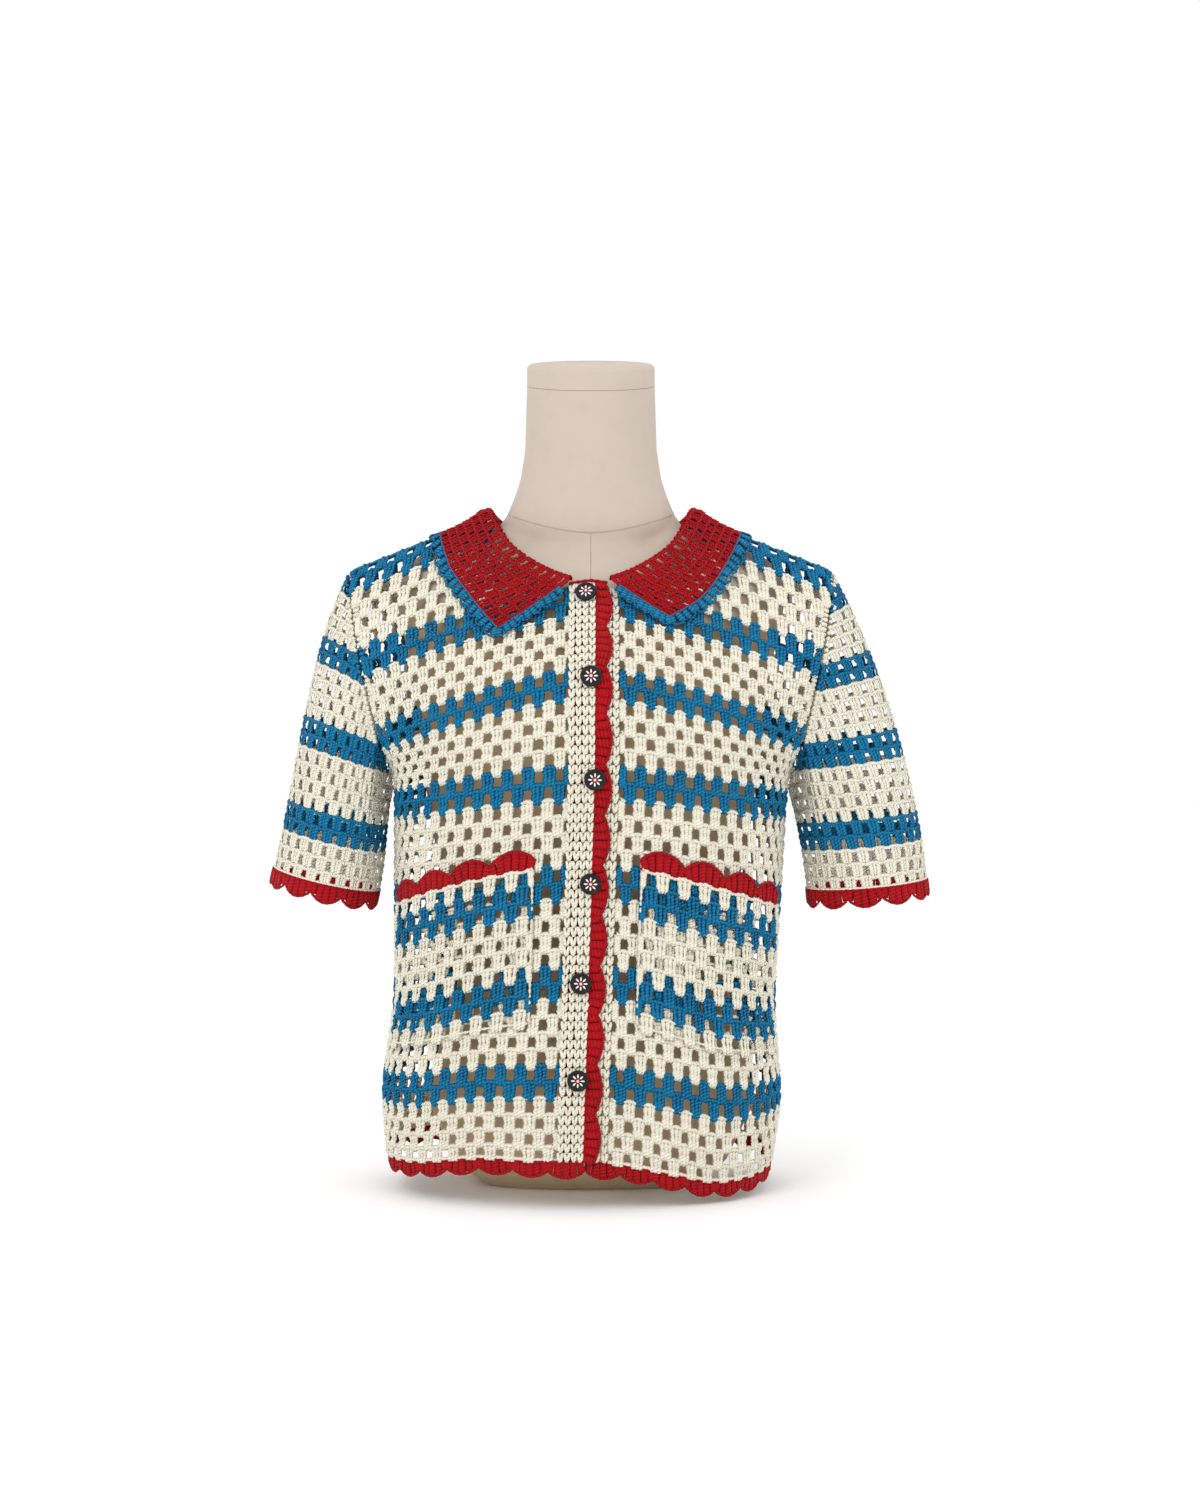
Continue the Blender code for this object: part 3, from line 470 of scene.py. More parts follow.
def read_table(table: Array, at: Array) -> list[Array]:
    """Monotone cubic interpolation of a table's columns by its first column.

    Between knots it is the cubic Hermite curve whose slopes are the weighted harmonic mean of the
    neighbouring rises, and 0 where they differ in sign.

    Args:
        table: Rows of numbers, the first column rising.
        at: Places to read, held within the first column's range.

    Returns:
        One array for each of the other columns.
    """
    knots, values = table[:, 0], table[:, 1:]
    at = np.clip(np.asarray(at, float), knots[0], knots[-1])
    steps = np.diff(knots)[:, None]
    rises = np.diff(values, axis=0) / steps
    slopes = np.zeros_like(values)
    inner = rises[:-1] * rises[1:] > 0
    weight_a = 2 * steps[1:] + steps[:-1]
    weight_b = steps[1:] + 2 * steps[:-1]
    safe = np.where(inner, 1.0, np.nan)
    mean = (weight_a + weight_b) / (weight_a / (rises[:-1] * safe) + weight_b / (rises[1:] * safe))
    slopes[1:-1] = np.where(inner, mean, 0.0)
    slopes[0], slopes[-1] = rises[0], rises[-1]
    cell = np.clip(np.searchsorted(knots, at, side="right") - 1, 0, len(knots) - 2)
    width = steps[cell]
    part = ((at - knots[cell]) / steps[cell, 0])[..., None]
    start = values[cell] * (1 + 2 * part) * (1 - part) ** 2
    end = values[cell + 1] * part**2 * (3 - 2 * part)
    lean_in = slopes[cell] * part * (1 - part) ** 2 * width
    lean_out = slopes[cell + 1] * part**2 * (part - 1) * width
    total = start + end + lean_in + lean_out
    return [total[..., index] for index in range(values.shape[1])]


def unit(vectors: Array) -> Array:
    """Vectors scaled to length 1."""
    return vectors / np.maximum(np.linalg.norm(vectors, axis=-1, keepdims=True), 1e-12)


def travelled_along(points: Array) -> Array:
    """Distance travelled along lines of points, the steps' lengths added up from 0.

    Args:
        points: Lines of points, the last two axes points and their coordinates.

    Returns:
        The distance at every point.
    """
    steps = np.linalg.norm(np.diff(points, axis=-2), axis=-1)
    return np.concatenate([np.zeros_like(steps[..., :1]), steps.cumsum(axis=-1)], axis=-1)


def ringed(centre: Array, normal: Array, half: Array, deep: Array, sides: int) -> Array:
    """Flattened rings round lines of points.

    A ring's point is centre + across * half * cos(turn) + out * deep * sin(turn), where across is
    square to the line and in the sheet, and out is square to both.

    Args:
        centre: Lines of ring centres.
        normal: Normals of the sheet that the lines lie on.
        half: Half width of each ring in the sheet.
        deep: Half depth of each ring out of the sheet.
        sides: Points on a ring.

    Returns:
        The rings' points.
    """
    ahead = unit(np.gradient(centre, axis=-2))
    across = unit(np.cross(ahead, normal))
    out = np.cross(across, ahead)
    turn = 2 * math.pi * np.arange(sides) / sides
    ring = across[..., None, :] * (half[..., None] * np.cos(turn))[..., None]
    ring = ring + out[..., None, :] * (deep[..., None] * np.sin(turn))[..., None]
    return centre[..., None, :] + ring


def grid_area(grid: Array) -> float:
    """Area of a sheet: half the cross product of the diagonals of every cell.

    Args:
        grid: The sheet's points.

    Returns:
        The area in square metres.
    """
    first = grid[1:, 1:] - grid[:-1, :-1]
    second = grid[:-1, 1:] - grid[1:, :-1]
    return float(np.linalg.norm(np.cross(first, second), axis=-1).sum() / 2)


def chosen(kept: Array, *grids: Array) -> list[Array]:
    """Values of each grid where kept is true, every grid first spread to its shape."""
    return [np.broadcast_to(grid, kept.shape)[kept] for grid in grids]


class Surface:
    """A curved sheet read by two coordinates; a subclass gives its points."""

    step_a = 0.001
    step_b = 0.05
    facing = 1.0

    def point(self, a: Array, b: Array) -> Array:
        """Points of the bare sheet at coordinates a and b."""
        raise NotImplementedError

    def place(self, a: Array, b: Array, lift: Array) -> tuple[Array, Array]:
        """Points moved out of the sheet, and the sheet's normals.

        The normal is the cross product of the sheet's two directions, from central differences.

        Args:
            a: First coordinate.
            b: Second coordinate.
            lift: Distance out of the sheet in metres.

        Returns:
            Points and unit normals.
        """
        ahead = self.point(a + self.step_a, b) - self.point(a - self.step_a, b)
        up = self.point(a, b + self.step_b) - self.point(a, b - self.step_b)
        normal = unit(np.cross(ahead, up)) * self.facing
        return self.point(a, b) + normal * np.asarray(lift)[..., None], normal


class Mantle(Surface):
    """The body's cloth as it sits on the form: across, a signed distance along a row, and row, from
    hem to hem.
    """

    columns = 72
    row_step = 0.25
    fine_steps = 240
    shoulder_turn, body_turn = 8.0, 90.0

    def __init__(self) -> None:
        """Samples the sheet finely once."""
        self.rows = np.arange(MANTLE[0, 0], MANTLE[-1, 0] + self.row_step / 2, self.row_step)
        halves = [self.half(side) for side in (-1, 1)]
        self.lengths = [lengths for _, lengths in halves]
        self.points = np.concatenate([halves[0][0][:, ::-1], halves[1][0][:, 1:]], axis=1)
        along, across = np.gradient(self.points, axis=0), np.gradient(self.points, axis=1)
        self.normals = unit(np.cross(across, along))

    def half(self, side: int) -> tuple[Array, Array]:
        """One side of every row, from the centre line out.

        A row is x = width * sin(turn * share) / sin(turn), squared off a little below the arms,
        with y and z carried from the centre's values to the edge's by the matching cosine.

        Args:
            side: -1 for the wearer's right and 1 for the left.

        Returns:
            Points spaced evenly along each row, and the rows' lengths.
        """
        width, y_in, y_out, z_in, z_out, turn = read_table(MANTLE, self.rows)
        share = np.linspace(0, 1, self.fine_steps + 1)[None, :]
        swing = np.radians(turn)[:, None]
        power = 2 / ROUNDNESS
        blend = (turn[:, None] - self.shoulder_turn) / (self.body_turn - self.shoulder_turn)
        blend = np.clip(blend, 0, 1)
        sine = np.sin(swing * share) / np.sin(swing)
        sine = (1 - blend) * sine + blend * sine**power
        cosine = (1 - np.cos(swing * share)) / (1 - np.cos(swing))
        cosine = (1 - blend) * cosine + blend * (1 - (1 - cosine) ** power)
        from_hem = np.minimum(self.rows, BACK_HEM_ROW - self.rows)[:, None]
        low = np.clip(1 - from_hem / UNDERARM_ROW, 0, 1)
        wave = read_table(HEM_WAVE, share[0])[0 if side < 0 else 1]
        in_front = self.rows[:, None] < SHOULDER_ROW
        wave = np.where(in_front, wave, wave[-1] * share**2) * low**1.5
        x = side * width[:, None] * sine + LEAN * low
        y = y_in[:, None] + (y_out - y_in)[:, None] * cosine
        z = z_in[:, None] + (z_out - z_in)[:, None] * sine ** (1 + 0.6 * blend) + wave
        curve = np.stack([x, y, z], axis=2)
        travelled = travelled_along(curve)
        even = np.linspace(0, 1, self.columns + 1)
        points = np.empty((len(self.rows), self.columns + 1, 3))
        for index, (steps, total) in enumerate(zip(travelled, travelled[:, -1])):
            for axis in range(3):
                points[index, :, axis] = np.interp(even * total, steps, curve[index, :, axis])
        return points, travelled[:, -1]

    def reach(self, side: int, row: Array) -> Array:
        """Length of a row from the centre line to the side seam or the armhole."""
        return np.interp(row, self.rows, self.lengths[0 if side < 0 else 1])

    def place(self, a: Array, b: Array, lift: Array) -> tuple[Array, Array]:
        """Points at distances across and rows, lifted, read from the samples in straight steps.

        Args:
            a: Distance across.
            b: Row.
            lift: Distance out of the sheet.

        Returns:
            Points and the sheet's own smooth unit normals.
        """
        across, row, lift = np.broadcast_arrays(a, b, lift)
        across, row = across.astype(float), row.astype(float)
        reach = np.where(across < 0, self.reach(-1, row), self.reach(1, row))
        column = np.clip(across / reach, -1, 1) * self.columns + self.columns
        line = np.clip((row - self.rows[0]) / self.row_step, 0, len(self.rows) - 1)
        left = np.minimum(column.astype(int), 2 * self.columns - 1)
        low = np.minimum(line.astype(int), len(self.rows) - 2)
        part_a, part_b = (column - left)[..., None], (line - low)[..., None]

        def read(grid: Array) -> Array:
            """Reads a grid of vectors, bilinear between its points.

            Args:
                grid: Vectors on the samples.

            Returns:
                Vectors at the places asked for.
            """
            lower = grid[low, left] * (1 - part_a) + grid[low, left + 1] * part_a
            upper = grid[low + 1, left] * (1 - part_a) + grid[low + 1, left + 1] * part_a
            return lower * (1 - part_b) + upper * part_b

        normal = unit(read(self.normals))
        return read(self.points) + normal * lift[..., None], normal

    def point(self, a: Array, b: Array) -> Array:
        """Points of the bare sheet."""
        return self.place(a, b, np.zeros(()))[0]


def neckline(row: Array) -> Array:
    """Half width of the neck hole at a row, 0 outside it.

    It is the full half width * (1 - |rows from the shoulder / depth| ** power) ** (1 / power).

    Args:
        row: Rows to read.

    Returns:
        Distances from the centre line.
    """
    from_shoulder = np.asarray(row, float) - SHOULDER_ROW
    depth = np.where(from_shoulder < 0, FRONT_NECK_ROWS, BACK_NECK_ROWS)
    power = np.where(from_shoulder < 0, FRONT_NECK_POWER, BACK_NECK_POWER)
    inside = np.clip(1 - np.abs(from_shoulder / depth) ** power, 0, 1)
    return NECK_HALF_WIDTH * inside ** (1 / power)


@dataclass
class SleeveSurface(Surface):
    """A sleeve: a is 0 to 1 round it from the underarm by the front, b is rows up from the cuff."""

    mantle: Mantle
    side: int
    centre: tuple[float, float, float]
    half_width: float
    half_depth: float
    tilt: float
    row_height: float = 0.0115
    step_a: float = 0.004
    step_b: float = 0.10

    setback, setback_fall = 0.0040, 0.0026
    swing_out, swing_out_rise = 0.16, 0.24
    swing_down, swing_down_fall = 0.95, 0.25
    cuff_forward = -0.05
    top_share, straight_share = 0.008, 0.96

    def __post_init__(self) -> None:
        """Sets which way is out, and measures the sleeve along each of its lines."""
        self.facing = -float(self.side)
        around = np.linspace(0, 1, 49)
        along = np.linspace(0, 1, 25)
        grid = self.shape(around[:, None] + 0 * along, along + 0 * around[:, None])
        lengths = np.linalg.norm(np.diff(grid, axis=1), axis=2).sum(axis=1)
        self.measure = (around, lengths)

    def shape(self, around: Array, along: Array) -> Array:
        """Points by share of the way down: a cubic Hermite curve from the armhole to the cuff.

        Args:
            around: Share of the way round, from the underarm by the front.
            along: Share of the way down, from the armhole.

        Returns:
            Points of the sheet.
        """
        side = self.side
        rows = UNDERARM_ROW + (BACK_UNDERARM_ROW - UNDERARM_ROW) * around
        armhole = self.mantle.point(side * self.mantle.reach(side, rows), rows)
        angle = 2 * math.pi * around
        top = (1 - np.cos(angle)) / 2
        armhole[..., 0] += side * (self.setback - self.setback_fall * top)
        out = np.array([side * (1 - self.tilt**2) ** 0.5, 0.0, self.tilt])
        front = np.array([0.0, -1.0, 0.0])
        cuff = np.array(self.centre) - np.cos(angle)[..., None] * out * self.half_width
        cuff = cuff + np.sin(angle)[..., None] * front * self.half_depth
        down = np.array([side * self.tilt, self.cuff_forward, -((1 - self.tilt**2) ** 0.5)])
        swing_out = (self.swing_out + self.swing_out_rise * top**2)[..., None]
        swing_down = (self.swing_down - self.swing_down_fall * top)[..., None]
        leave = swing_out * np.array([side, 0.0, 0.0]) + np.array([0.0, 0.0, -1.0]) * swing_down
        span = np.linalg.norm(cuff - armhole, axis=-1, keepdims=True)
        t = np.asarray(along)[..., None]
        start = armhole * (1 + 2 * t) * (1 - t) ** 2 + leave * span * t * (1 - t) ** 2
        return start + cuff * t**2 * (3 - 2 * t) + down * span * t**2 * (t - 1)

    def length(self, around: Array) -> Array:
        """Length of the sleeve from the armhole to the cuff along one of its lines."""
        return np.interp(np.mod(around, 1.0), *self.measure)

    def point(self, a: Array, b: Array) -> Array:
        """Points by rows up from the cuff; below the cuff the sheet goes straight on down.

        Args:
            a: Share of the way round.
            b: Rows up from the cuff.

        Returns:
            Points of the bare sheet.
        """
        around = np.mod(np.asarray(a, float), 1.0)
        around, level = np.broadcast_arrays(around, np.asarray(b, float) * self.row_height)
        along = np.clip(1 - level / self.length(around), self.top_share, 1.0)
        points = self.shape(around, along)
        before = self.shape(around, np.full_like(along, self.straight_share))
        down = unit(self.shape(around, np.ones_like(along)) - before)
        return points + down * np.maximum(-level, 0)[..., None]


@dataclass
class PocketSurface(Surface):
    """A patch pocket laid over a front: a is 0 to 1 across it, b is 0 to 1 up it."""

    mantle: Mantle
    side: int
    base_lift: float = POCKET_LIFT

    def place(self, a: Array, b: Array, lift: Array) -> tuple[Array, Array]:
        """Points on the front's own column lines, lifted off it by the pocket's layer.

        Args:
            a: Share of the way across the pocket.
            b: Share of the way up it.
            lift: Distance out of its sheet.

        Returns:
            Points and unit normals.
        """
        along, share, lift = np.broadcast_arrays(a, b, lift)
        bottom, top = read_table(POCKET, along)
        row = bottom + (top - bottom) * share
        start = PANEL_START[self.side]
        seam = self.mantle.reach(self.side, UNDERARM_ROW / 2)
        part = (POCKET_START + POCKET_WIDTH * along - start) / (seam - start)
        across = start + (self.mantle.reach(self.side, row) - start) * part
        return self.mantle.place(self.side * across, row, self.base_lift + lift)


class CollarSurface(Surface):
    """The collar: a is the distance along its middle line, b the length up its cloth."""

    step_a = 0.0015
    step_b = 0.0012

    def __init__(self, mantle: Mantle) -> None:
        """Measures the middle line from the right front end to the left one.

        Args:
            mantle: The body's cloth.
        """
        self.mantle = mantle
        self.turn = np.linspace(-1, 1, 401)
        middle = self.at_turn(self.turn, np.full_like(self.turn, COLLAR_FOLD[-2, 0]))
        self.travelled = travelled_along(middle)
        self.height = COLLAR_FOLD[-1, 0]

    @property
    def length(self) -> float:
        """Length of the middle line."""
        return float(self.travelled[-1])

    def edges(self, turn: Array) -> tuple[Array, Array]:
        """The collar's seam and its outer edge on the mantle.

        Args:
            turn: -1 at the right front end, 0 at the centre back and 1 at the left front end.

        Returns:
            (across, row) of the seam and of the outer edge.
        """
        angle = 180 - np.abs(turn) * (180 - COLLAR_OUTLINES[-1][0, 0])
        side = np.where(turn < 0, -1, 1)
        swing = np.radians(angle)
        front = np.cos(swing) > 0
        depth = np.where(front, FRONT_NECK_ROWS, -BACK_NECK_ROWS)
        power = 2 / np.where(front, FRONT_NECK_POWER, BACK_NECK_POWER)
        inner_row = SHOULDER_ROW - depth * np.abs(np.cos(swing)) ** power
        leaves = (read_table(COLLAR_OUTLINES[leaf], angle) for leaf in (-1, 1))
        outer = [np.where(side < 0, right, left) for right, left in zip(*leaves)]
        inner_across = side * NECK_HALF_WIDTH * np.maximum(np.sin(swing), 0.0) ** power
        inner = np.stack([inner_across, inner_row], axis=-1)
        return inner, np.stack([side * outer[0], outer[1]], axis=-1)

    def at_turn(self, turn: Array, up: Array) -> Array:
        """Points at seam + (edge - seam) * share, drawn in by the inset and lifted.

        Args:
            turn: -1 at the right front end, 0 at the centre back and 1 at the left front end.
            up: Length up the cloth from its seam.

        Returns:
            Points of the bare collar.
        """
        inner, outer = self.edges(turn)
        lengths = COLLAR_FOLD[:, 0]
        share, inset, lift = (np.interp(up, lengths, COLLAR_FOLD[:, k]) for k in (1, 2, 3))
        edge = inner + (outer - inner) * share[..., None]
        middle = np.array([0.0, SHOULDER_ROW])
        edge = middle + (edge - middle) * (1 - inset / NECK_HALF_WIDTH)[..., None]
        return self.mantle.place(edge[..., 0], edge[..., 1], lift)[0]

    def point(self, a: Array, b: Array) -> Array:
        """Points of the bare collar."""
        a, b = np.broadcast_arrays(np.asarray(a, float), np.asarray(b, float))
        return self.at_turn(np.interp(a, self.travelled, self.turn), b)


@dataclass
class YarnMesh:
    """Closed yarn tubes gathered into one mesh, with their winding UVs and yarn numbers."""

    points: list[Array] = field(default_factory=list)
    sizes: list[Array] = field(default_factory=list)
    loops: list[Array] = field(default_factory=list)
    uvs: list[Array] = field(default_factory=list)
    yarns: list[Array] = field(default_factory=list)
    count: int = 0

    turns_a_metre = 250
    start_turn = 0.37

    def tubes(
        self, surface: Surface, a: Array, b: Array, lift: Array, half: Array, deep: Array,
        yarn: Array | int, sides: int = 4
    ) -> None:
        """Adds flattened tubes laid on a surface; the arrays' last axis counts a tube's rings.

        Args:
            surface: The sheet that the tubes lie on.
            a: First coordinate of each tube's rings.
            b: Second coordinate of the rings.
            lift: Distance of the rings out of the sheet.
            half: Half width of each ring in the sheet.
            deep: Half depth of each ring out of the sheet.
            yarn: Number of each tube's yarn.
            sides: Points on a ring.
        """
        spread = np.broadcast_arrays(a, b, lift, half, deep)
        a, b, lift, half, deep = (values.reshape(-1, values.shape[-1]) for values in spread)
        tubes, rings = a.shape
        centre, normal = surface.place(a, b, lift)
        self.points.append(ringed(centre, normal, half, deep, sides).reshape(-1, 3))
        index = self.count + np.arange(tubes * rings * sides).reshape(tubes, rings, sides)
        beside = np.roll(index, -1, axis=2)
        quads = np.stack([index[:, :-1], index[:, 1:], beside[:, 1:], beside[:, :-1]], axis=-1)
        wound = travelled_along(centre) * self.turns_a_metre
        wound = wound + np.arange(tubes)[:, None] * self.start_turn
        around = np.arange(sides + 1) / sides
        low, high, left, right = (
            np.broadcast_to(values, quads.shape[:3])
            for values in (wound[:, :-1, None], wound[:, 1:, None], around[:-1], around[1:])
        )
        corners = ((left, low), (left, high), (right, high), (right, low))
        uv = np.stack([np.stack(corner, axis=-1) for corner in corners], axis=3)
        self.loops.append(quads.reshape(-1))
        self.uvs.append(uv.reshape(-1, 2))
        self.sizes.append(np.full(tubes * (rings - 1) * sides, 4))
        caps = np.concatenate([index[:, 0], index[:, -1, ::-1]])
        self.loops.append(caps.reshape(-1))
        self.uvs.append(np.zeros((caps.size, 2)))
        self.sizes.append(np.full(len(caps), sides))
        yarn = np.broadcast_to(np.asarray(yarn), (tubes,))
        self.yarns.append(np.repeat(yarn, (rings - 1) * sides))
        self.yarns.append(np.concatenate([yarn, yarn]))
        self.count += tubes * rings * sides

    def joins(
        self, surface: Surface, a: Array, b: Array, half: float, yarn: Array, lift: float = 0.0004
    ) -> None:
        """Adds short fat stitches that close a seam.

        Args:
            surface: The sheet that the stitches lie on.
            a: First coordinate of the rings, stitches by the rings of JOIN_RINGS.
            b: Second coordinate of the rings.
            half: Half width at the middle.
            yarn: Number of each stitch's yarn.
            lift: Distance out of the sheet.
        """
        thick = half * JOIN_WIDTH
        self.tubes(surface, a, b, lift, thick, thick * 0.6, yarn)

    def rope(
        self, surface: Surface, a: Array, b: Array, yarn: Yarn, lift: float = 0.0005,
        thin: float = 0.0013, bead: float = 0.0005
    ) -> None:
        """Adds one beaded line of yarn, thin at its even rings and a bead thicker at its odd ones.

        Args:
            surface: The sheet that the line lies on.
            a: First coordinate of the rings.
            b: Second coordinate of the rings.
            yarn: The line's yarn.
            lift: Distance out of the sheet.
            thin: Half width between two beads.
            bead: How much more a bead's half width is.
        """
        a, b = np.broadcast_arrays(a, b)
        thick = thin + bead * (np.arange(len(a)) % 2)
        self.tubes(surface, a, b, lift, thick, thick * 0.9, yarn.value)

    def finish(self, name: str, finishes: list[bpy.types.Material]) -> bpy.types.Object:
        """Makes the gathered tubes one object.

        Args:
            name: The piece's name.
            finishes: Materials, in the order of their yarn numbers.

        Returns:
            The new object.
        """
        sizes, loops = np.concatenate(self.sizes), np.concatenate(self.loops)
        points, yarns = np.concatenate(self.points), np.concatenate(self.yarns)
        mesh = bpy.data.meshes.new(name)
        mesh.vertices.add(len(points))
        mesh.vertices.foreach_set("co", points.astype(np.float32).reshape(-1))
        mesh.loops.add(len(loops))
        mesh.loops.foreach_set("vertex_index", loops.astype(np.int32))
        mesh.polygons.add(len(sizes))
        starts = np.concatenate([[0], sizes.cumsum()[:-1]])
        mesh.polygons.foreach_set("loop_start", starts.astype(np.int32))
        mesh.polygons.foreach_set("loop_total", sizes.astype(np.int32))
        used = sorted(set(yarns.tolist()))
        for number in used:
            mesh.materials.append(finishes[number])
        looks = np.searchsorted(used, yarns).astype(np.int32)
        mesh.polygons.foreach_set("material_index", looks)
        layer = mesh.uv_layers.new(name="winding")
        layer.data.foreach_set("uv", np.concatenate(self.uvs).astype(np.float32).reshape(-1))
        mesh.update(calc_edges=True)
        mesh.validate()
        mesh.shade_smooth()
        return add_object(name, mesh)


@dataclass
class Clusters:
    """Places of granny clusters on a surface: each a fan of posts under a piece of chain.

    What is the same for every cluster may be given once.
    """

    a: Array
    b: Array
    pitch: Array | float
    rise: float
    low: Array | float
    high: Array | float
    yarn: Array | int
    last_b: float = 1e9
    first_b: float | None = None
    scale: float = 1.0
    posts: int = 3
    spread: tuple[float, float] = (0.125, 0.085)
    tip: float = -0.30
    fat: float = 1.0
    depth: float = 1.0
    chain_rings: int = 9
    seed: int = 1

    post_top, chain_row = 0.88, 0.93
    post_half, post_deep = 0.00215, 0.00140
    middle_lift, lean, pushed_back = 0.0004, 0.020, 0.85
    bridge_half, over_half, bead_half = 0.00165, 0.00010, 0.00040
    chain_width, chain_sag = 1.04, 0.07
    chain_lift, bead_lift = 0.0002, 0.0012
    post_rings = np.array([0.0, 0.16, 0.40, 0.58, 0.82, 1.0])
    ring_width = np.array([0.62, 0.98, 1.06, 0.82, 1.10, 0.80])
    post_lift = np.array([0.0004, 0.0013, 0.0013, 0.0003, 0.0010, 0.0001])
    twist = np.array([0.0, 0.55, -0.45, 0.60, -0.40, 0.0])

    def __post_init__(self) -> None:
        """Spreads what is given once over all the clusters."""
        given = (self.a, self.b, self.pitch, self.low, self.high, self.yarn)
        spread = np.broadcast_arrays(*given)
        self.a, self.b, self.pitch, self.low, self.high, self.yarn = spread

    def within(self, b: Array) -> Array:
        """b held short of the last row of the cloth."""
        return np.minimum(b, self.last_b) if self.rise > 0 else np.maximum(b, self.last_b)

    def build(self, mesh: YarnMesh, surface: Surface) -> None:
        """Lays every cluster's posts and chain.

        Post k, from -1 to 1, runs along u = k * (spread 0 + spread 1 * sqrt(t)) from v = tip to
        v = post_top, where u is in pitches from the cluster's middle and v in rows from its base.
        Where it starts outside first_b it is pushed back towards it.

        Args:
            mesh: The mesh that takes the yarn.
            surface: The sheet that the clusters lie on.
        """
        chance = np.random.default_rng(self.seed)
        total = len(self.a)
        one, each = (total, 1, 1), (total, self.posts, 1)
        t = self.post_rings
        k = np.linspace(-1, 1, self.posts)[:, None]
        sway = chance.normal(0, 0.020, one) + chance.normal(0, 0.012, each) * t
        u = k * (self.spread[0] + self.spread[1] * np.sqrt(t)) + sway + self.lean * self.twist
        tip = chance.normal(self.tip, 0.03, one)
        v = tip + (self.post_top - tip) * t + chance.normal(0, 0.012, each)
        a = self.a[:, None, None] + u * self.pitch[:, None, None]
        a = np.clip(a, self.low[:, None, None], self.high[:, None, None])
        b = self.within(self.b[:, None, None] + v * self.rise)
        if self.first_b is not None:
            beyond = np.maximum((self.first_b - b) * np.sign(self.rise), 0.0)
            b = b + self.pushed_back * beyond * np.sign(self.rise)
        bulge = self.ring_width * (chance.normal(1.0, 0.06, each) * self.scale)
        lift = (self.post_lift + self.middle_lift * (k == 0)) * self.scale
        half = self.post_half * self.fat * bulge
        deep = self.post_deep * self.depth * bulge
        mesh.tubes(surface, a, b, lift, half, deep, np.repeat(self.yarn, self.posts))
        self.lay_chain(mesh, surface, chance)

    def lay_chain(self, mesh: YarnMesh, surface: Surface, chance: np.random.Generator) -> None:
        """Lays the beaded chain over each cluster's top, thin where it bridges to the next.

        Its half width is bridge_half where it bridges, and over_half more over the posts, with
        bead_half more in each bead.

        Args:
            mesh: The mesh that takes the yarn.
            surface: The sheet that the clusters lie on.
            chance: Source of the small unevenness.
        """
        w = np.linspace(0, 1, self.chain_rings) - 0.5
        over = np.clip(1.6 - np.abs(w) * 4.2, 0, 1)
        bead = np.abs(np.cos(3 * math.pi * w * 1.25)) * over
        a = self.a[:, None] + w * self.chain_width * self.pitch[:, None]
        a = np.clip(a, self.low[:, None], self.high[:, None])
        sag = self.chain_sag * (1 - over)
        level = self.chain_row - sag + chance.normal(0, 0.010, (len(self.a), 1))
        b = self.within(self.b[:, None] + level * self.rise)
        lift = (self.chain_lift + self.bead_lift * bead) * self.scale
        thick = (self.bridge_half + self.over_half * over + self.bead_half * bead) * self.scale
        mesh.tubes(surface, a, b, lift, thick, thick * 0.95 * self.depth, self.yarn)


@dataclass
class Scallops:
    """A row of shell stitches along an edge; a counts scallops and b is metres out of the edge."""

    count: int
    width: float
    root: float
    tip: float
    yarn: Yarn
    posts: int = 5
    scale: float = 1.0
    lobes: int = 1

    post_rings = np.array([0.0, 0.30, 0.70, 1.0])
    ring_depth = np.array([0.8, 1.0, 1.0, 0.8])
    fan, fan_rise = 0.40, 0.06
    post_half, post_half_rise, post_deep, post_lift = 0.54, 0.10, 0.00125, 0.0002
    foot_half, rim_half, rim_bead, rim_lift = 0.00130, 0.00105, 0.00030, 0.0004
    post_short, rim_in = 0.0010, 0.0006

    def outline(self, a: Array) -> Array:
        """Distance out of the edge: root + (tip - root) * |sin(pi lobes a)| ** 0.75."""
        wave = np.abs(np.sin(math.pi * self.lobes * a)) ** 0.75
        return self.root + (self.tip - self.root) * wave

    def build(self, mesh: YarnMesh, surface: Surface) -> None:
        """Lays the fans of posts, the foot that is worked into the cloth, and the rim of the tips.

        Args:
            mesh: The mesh that takes the yarn.
            surface: A sheet read by scallops along and metres out.
        """
        scallop = np.arange(self.count)
        post = np.arange(self.posts)[:, None]
        t = self.post_rings
        swing = np.linspace(-1, 1, self.posts)[None, :, None]
        a = (scallop + 0.5)[:, None, None] + swing * (self.fan + self.fan_rise * t)
        b = (self.outline(a) - self.post_short * self.scale) * t
        lift = self.post_lift * np.cos(math.pi * post)
        half = self.width / self.posts * (self.post_half + self.post_half_rise * t)
        deep = self.post_deep * self.scale * self.ring_depth
        mesh.tubes(surface, a, b, lift, half, deep, self.yarn.value, 5)
        w = np.linspace(0, 1, 13)
        a = scallop[:, None] + w
        under = self.foot_half * self.scale
        mesh.tubes(surface, a, under - WORKED_IN, 0.0, under, under * 0.9, self.yarn.value)
        bead = np.abs(np.sin(6 * math.pi * w))
        thick = (self.rim_half + self.rim_bead * bead) * self.scale
        b = self.outline(a) - self.rim_in * self.scale
        mesh.tubes(surface, a, b, self.rim_lift, thick, thick, self.yarn.value)


